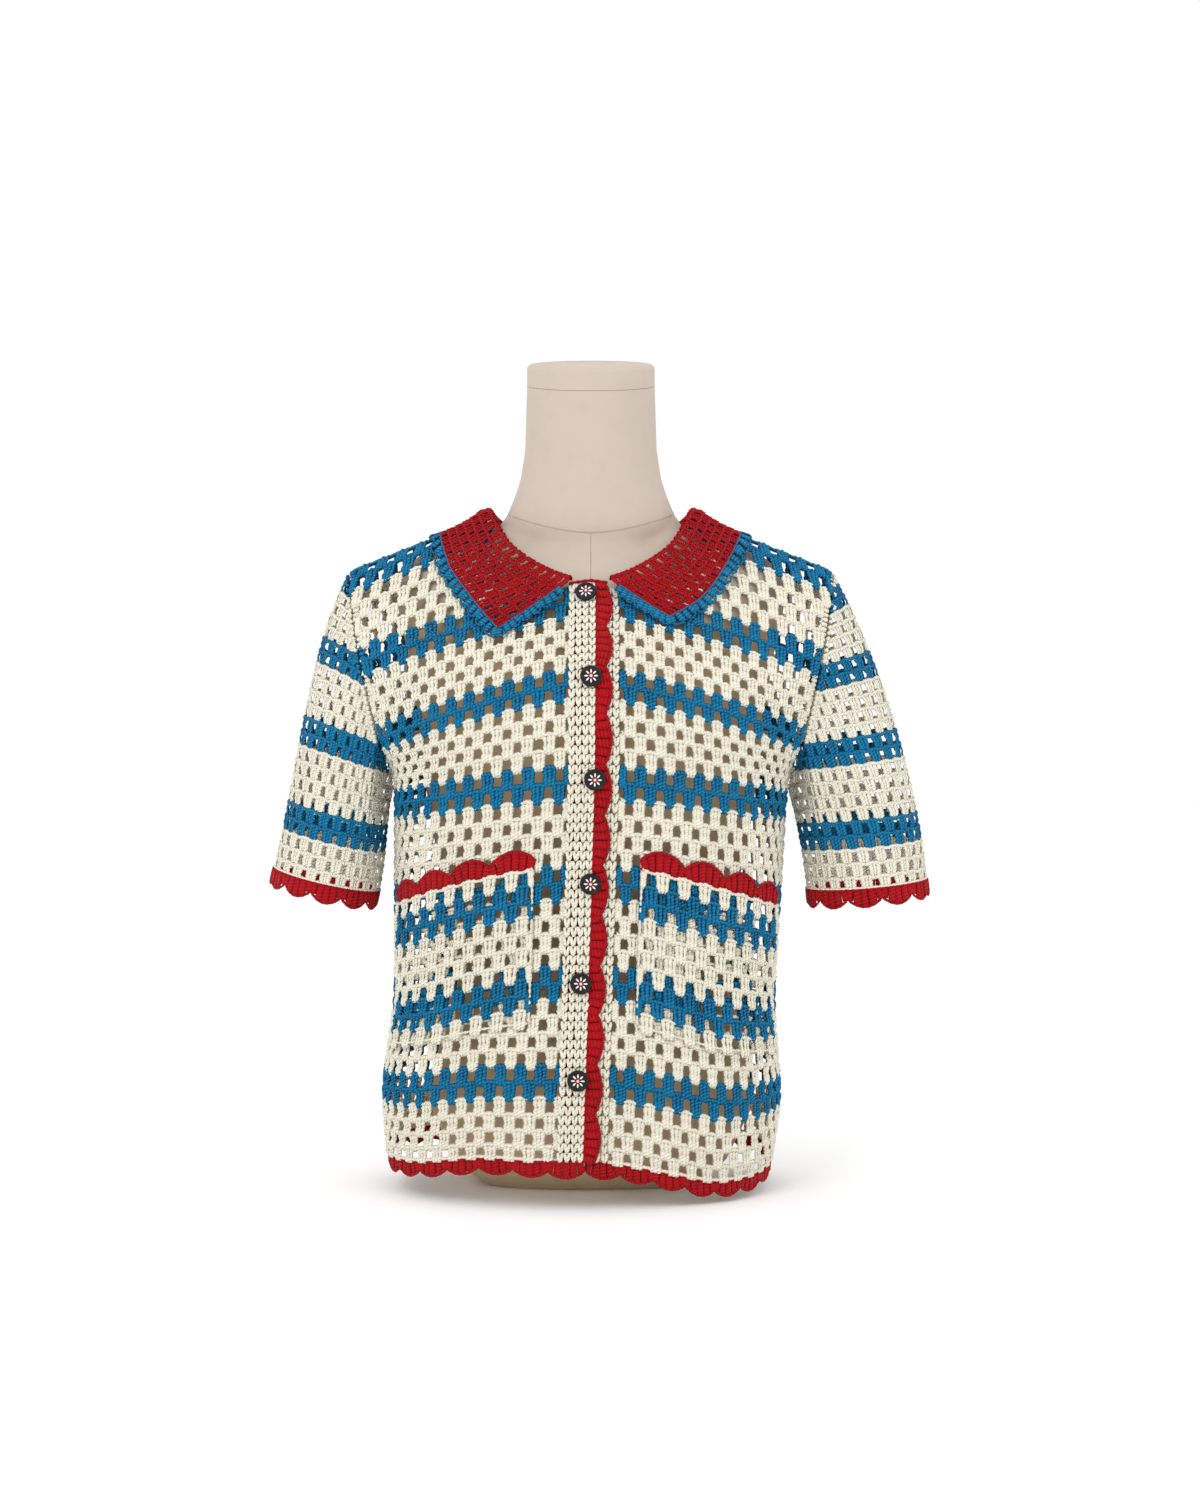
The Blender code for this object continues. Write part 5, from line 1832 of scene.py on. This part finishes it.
@dataclass
class Buttons:
    """Six domed buttons with a raised black rim and a painted daisy on each."""

    mantle: Mantle
    finishes: tuple[bpy.types.Material, ...]
    radius: float = BUTTON_DIAMETER / 2
    petals: int = 8
    back_lift: float = LAYER + 0.0015 + 0.0006
    crease_angle: float = 0.9

    @staticmethod
    def revolve(profile: Array, steps: int) -> tuple[Array, Array]:
        """Turns a profile about the axis: x = r cos(turn), y = r sin(turn), z as it is.

        Args:
            profile: (radius, height) from the top's middle, out and down to the back's middle.
            steps: Points round the axis.

        Returns:
            Points, profile by steps, and four-sided faces.
        """
        turn = 2 * math.pi * np.arange(steps) / steps
        r, z = profile[:, 0, None], profile[:, 1, None] + 0 * turn
        points = np.stack([r * np.cos(turn), r * np.sin(turn), z], axis=-1).reshape(-1, 3)
        index = np.arange(len(profile) * steps).reshape(len(profile), steps)
        beside = np.roll(index, -1, axis=1)
        faces = np.stack([index[:-1], index[1:], beside[1:], beside[:-1]], axis=-1)
        return points, faces.reshape(-1, 4)

    def petal_shapes(self) -> tuple[Array, Array]:
        """Works out the low ovals round the middle, each a revolved dome stretched outwards.

        Returns:
            Points and faces of all the petals.
        """
        r = self.radius
        profile = np.array([
            (1e-6, 0.00055),
            (0.55, 0.00045),
            (0.90, 0.00020),
            (1.0, -0.0004),
            (1e-6, -0.0004),
        ])
        profile[1:4, 0] *= r * 0.118
        points, faces = self.revolve(profile, 10)
        points = points * [1.75, 0.72, 1.0] + [r * 0.44, 0.0, 0.00285]
        turns = 2 * math.pi * np.arange(self.petals) / self.petals
        cos, sin = np.cos(turns)[:, None], np.sin(turns)[:, None]
        x, y = points[None, :, 0], points[None, :, 1]
        z = points[None, :, 2] + 0 * cos
        spun = np.stack([x * cos - y * sin, x * sin + y * cos, z], axis=-1)
        offsets = np.arange(self.petals)[:, None, None] * len(points)
        return spun.reshape(-1, 3), (faces[None] + offsets).reshape(-1, 4)

    def parts(self) -> list[tuple[Array, Array, int]]:
        """Works out the button's shapes about its own axis.

        Returns:
            Points, faces and material number of the body, the petals, the ring and the eye.
        """
        r = self.radius
        body = np.array([
            (1e-6, 0.0029),
            (r * 0.40, 0.0028),
            (r * 0.68, 0.0023),
            (r * 0.74, 0.0024),
            (r * 0.80, 0.0033),
            (r * 0.88, 0.0037),
            (r * 0.95, 0.0033),
            (r * 0.99, 0.0024),
            (r * 0.99, 0.0013),
            (r * 0.90, 0.0002),
            (1e-6, 0.0),
        ])
        ring = np.array([
            (r * 0.10, 0.0030),
            (r * 0.13, 0.0037),
            (r * 0.18, 0.0037),
            (r * 0.22, 0.0028),
            (r * 0.10, 0.0026),
            (r * 0.10, 0.0030),
        ])
        eye = np.array([
            (1e-6, 0.0040),
            (r * 0.08, 0.0039),
            (r * 0.14, 0.0033),
            (r * 0.14, 0.0027),
            (1e-6, 0.0027),
        ])
        return [
            (*self.revolve(body, 40), 0),
            (*self.petal_shapes(), 1),
            (*self.revolve(ring, 20), 2),
            (*self.revolve(eye, 14), 1),
        ]

    def seated(self, points: Array, across: float, row: float) -> Array:
        """Turns and moves a button's points to its place on the top band, square to the cloth.

        Args:
            points: The button's points about its own axis.
            across: Distance across of its middle.
            row: Row of its middle.

        Returns:
            The points in place.
        """
        middle, level = np.array(across), np.array(row)
        seat, normal = self.mantle.place(middle, level, np.array(self.back_lift))
        up = self.mantle.point(middle, level + 0.4) - self.mantle.point(middle, level - 0.4)
        up = unit(up - normal * float(up @ normal))
        return points @ np.stack([np.cross(up, normal), up, normal]) + seat

    def build(self) -> None:
        """Builds every button."""
        shapes, faces, numbers = zip(*self.parts())
        offsets = np.cumsum([0] + [len(shape) for shape in shapes[:-1]])
        faces = [part + offset for part, offset in zip(faces, offsets)]
        looks = np.repeat(numbers, [len(part) for part in faces]).astype(np.int32)
        points, faces = np.concatenate(shapes), np.concatenate(faces).tolist()
        for number, (row, across) in enumerate(BUTTONS, 1):
            mesh = bpy.data.meshes.new(f"button_{number}_daisy")
            mesh.from_pydata(self.seated(points, across, row).tolist(), [], faces)
            for finish in self.finishes:
                mesh.materials.append(finish)
            mesh.polygons.foreach_set("material_index", looks)
            mesh.shade_smooth()
            mesh.set_sharp_from_angle(angle=self.crease_angle)
            dress(add_object(mesh.name, mesh), f"button_{number}")


def mesh_arrays(mesh: bpy.types.Mesh) -> tuple[Array, Array]:
    """Reads a mesh of triangles.

    Args:
        mesh: The mesh.

    Returns:
        Its points, and its faces as numbers of points.
    """
    points = np.empty(len(mesh.vertices) * 3, np.float32)
    mesh.vertices.foreach_get("co", points)
    corners = np.empty(len(mesh.loops), np.int32)
    mesh.loops.foreach_get("vertex_index", corners)
    return points.reshape(-1, 3), corners.reshape(-1, 3)


@dataclass
class DressForm:
    """The limbless form: its solids smoothed and covered in linen, with its seam lines."""

    frame: dict
    linen: bpy.types.Material
    thread: bpy.types.Material
    rim_angle: float = 1.2
    neck_seam_height: float = 0.5880
    neck_seam_dip: float = 0.0250
    front_seam: tuple[float, float] = (0.500, 0.5620)

    def smooth_copy(self, node: str, name: str) -> bpy.types.Mesh:
        """Makes a merged copy of a solid, shaded smooth but for its rims.

        Args:
            node: The solid's node.
            name: The piece's name.

        Returns:
            The copy's mesh.
        """
        points, corners = mesh_arrays(self.frame["nodes"][node].data)
        _, first, index = np.unique(
            np.round(points, 6), axis=0, return_index=True, return_inverse=True
        )
        mesh = bpy.data.meshes.new(name)
        mesh.from_pydata(points[first].tolist(), [], index.reshape(-1)[corners].tolist())
        mesh.materials.append(self.linen)
        mesh.shade_smooth()
        mesh.set_sharp_from_angle(angle=self.rim_angle)
        dress(add_object(name, mesh), node)
        return mesh

    def seam(
        self, name: str, tree: BVHTree, starts: Array, ways: Array, radius: float = 0.0006
    ) -> None:
        """Lays a thin stitched ridge where rays from inside meet the form.

        Args:
            name: The piece's name.
            tree: Search tree of the form.
            starts: Ray starts, inside the form.
            ways: Ray directions.
            radius: Half width of the ridge.
        """
        hits = [tree.ray_cast(Vector(start), Vector(way)) for start, way in zip(starts, ways)]
        centre, normal = (np.array([hit[k] for hit in hits if hit[0] is not None]) for k in (0, 1))
        sides = 6
        half = np.full(len(centre), radius)
        points = ringed(centre, normal, half, half * 0.6, sides)
        index = np.arange(len(centre) * sides).reshape(-1, sides)
        beside = np.roll(index, -1, axis=1)
        faces = np.stack([index[:-1], index[1:], beside[1:], beside[:-1]], axis=-1)
        caps = [index[0].tolist(), index[-1, ::-1].tolist()]
        mesh = bpy.data.meshes.new(name)
        mesh.from_pydata(points.reshape(-1, 3).tolist(), [], faces.reshape(-1, 4).tolist() + caps)
        mesh.materials.append(self.thread)
        mesh.shade_smooth()
        obj = add_object(name, mesh)
        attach(obj, "root")

    def build(self) -> None:
        """Builds the body, the cap and the seams."""
        body = self.smooth_copy("dress_form_body", "form_body_linen")
        self.smooth_copy("dress_form_cap", "form_cap_linen")
        tree = BVHTree.FromPolygons(*(values.tolist() for values in mesh_arrays(body)))
        turn = np.linspace(0, 2 * math.pi, 97)
        turn[-1] = turn[0]
        level = self.neck_seam_height - self.neck_seam_dip * ((1 - np.sin(turn)) / 2) ** 2
        starts = np.stack([0 * turn, 0 * turn, level], axis=1)
        ways = np.stack([np.cos(turn), np.sin(turn), 0 * turn], axis=1)
        self.seam("form_neck_seam", tree, starts, ways)
        height = np.linspace(*self.front_seam, 24)
        starts = np.stack([0 * height, 0 * height, height], axis=1)
        forwards = np.tile([0.0, -1.0, 0.0], (len(height), 1))
        self.seam("form_front_seam", tree, starts, forwards, 0.0004)


@dataclass
class Studio:
    """The pale floor, the soft lights and the camera at the photo's place."""

    floor_half: float = 6.0
    floor_height: float = -0.0005
    aim: tuple[float, float, float] = (0.0, 0.0, 0.38)
    camera_place: tuple[float, float, float] = (0.0078, -2.40, 0.472)
    camera_pitch: float = 90 - 2.27
    sensor: float = 36.0
    lens: float = 2771 / 1500 * 36

    def build(self) -> None:
        """Builds the floor, the world, the lights and the camera."""
        self.lay_floor()
        world = bpy.data.worlds.new("studio")
        world.use_nodes = True
        background = world.node_tree.nodes["Background"]
        background.inputs["Color"].default_value = (1.0, 1.0, 1.0, 1.0)
        background.inputs["Strength"].default_value = 1.0
        bpy.context.scene.world = world
        bpy.context.scene.view_settings.view_transform = "Standard"
        self.light("key", (-1.6, -2.4, 2.4), power=30.0, size=1.6)
        self.light("fill", (1.9, -2.0, 1.3), power=10.0, size=1.8)
        self.light("top", (0.0, 0.3, 2.6), power=6.0, size=1.6)
        camera = bpy.data.cameras.new("photo_camera")
        camera.sensor_fit = "VERTICAL"
        camera.sensor_height = self.sensor
        camera.lens = self.lens
        obj = add_object("photo_camera", camera)
        obj.location = self.camera_place
        obj.rotation_euler = (math.radians(self.camera_pitch), 0.0, 0.0)
        bpy.context.scene.camera = obj

    def lay_floor(self) -> None:
        """Lays the sheet of paper that the form stands on."""
        half = self.floor_half
        corners = [(-half, -half, 0), (half, -half, 0), (half, half, 0), (-half, half, 0)]
        mesh = bpy.data.meshes.new("floor")
        mesh.from_pydata(corners, [], [(0, 1, 2, 3)])
        paper = Recipe("floor_paper", (0.99, 0.99, 0.99), 0.9)
        paper.feed(paper.shader, {"Specular IOR Level": 0.1})
        mesh.materials.append(paper.material)
        floor = add_object("floor", mesh)
        floor.location.z = self.floor_height

    def light(
        self, name: str, place: tuple[float, float, float], power: float, size: float
    ) -> None:
        """Adds one square soft light, turned to the object's middle.

        Args:
            name: The light's name.
            place: Its place.
            power: Its power in watts.
            size: Length of its side.
        """
        lamp = bpy.data.lights.new(name, "AREA")
        lamp.energy = power
        lamp.size = size
        obj = add_object(name, lamp)
        obj.location = place
        aim = Vector(self.aim) - Vector(place)
        obj.rotation_euler = aim.to_track_quat("-Z", "Y").to_euler()


def main() -> None:
    """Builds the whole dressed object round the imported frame."""
    logging.basicConfig(level=logging.INFO, format="%(name)s: %(message)s")
    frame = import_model()
    # Each yarn's second colour is its painted shade tone, for the grooves between its plies and its
    # flanks
    yarns = [
        YarnFinish("cream_yarn", (0.920, 0.880, 0.745), (0.660, 0.610, 0.470)),
        YarnFinish(
            "blue_yarn", (0.004, 0.235, 0.470), (0.001, 0.045, 0.110), ply_depth=0.60, crease=0.60
        ),
        YarnFinish("red_yarn", (0.500, 0.001, 0.006), (0.190, 0.000, 0.002), ply_depth=0.60),
    ]
    mantle = Mantle()
    wardrobe = Wardrobe(mantle, [yarn.make() for yarn in yarns])
    Studio().build()
    thread = LinenFinish("form_seam_thread", (0.46, 0.38, 0.29), (0.36, 0.29, 0.21))
    DressForm(frame, LinenFinish().make(), thread.make()).build()
    Body(wardrobe).build()
    Front(wardrobe).build()
    for surface, name in (
        (SleeveSurface(mantle, -1, (-0.2280, -0.0140, 0.2660), 0.0465, 0.0560, 0.230), "right"),
        (SleeveSurface(mantle, 1, (0.2380, -0.0140, 0.2620), 0.0520, 0.0540, 0.090), "left"),
    ):
        Sleeve(wardrobe, name, surface).build()
    Pocket(wardrobe, -1, "right").build()
    Pocket(wardrobe, 1, "left").build()
    Collar(wardrobe).build()
    black = GlossFinish("button_black", (0.010, 0.009, 0.010)).make()
    white = GlossFinish("button_white", (0.80, 0.78, 0.74), 0.35).make()
    red = GlossFinish("button_red", (0.55, 0.02, 0.05), 0.35).make()
    Buttons(mantle, (black, white, red)).build()


if __name__ == "__main__":
    main()
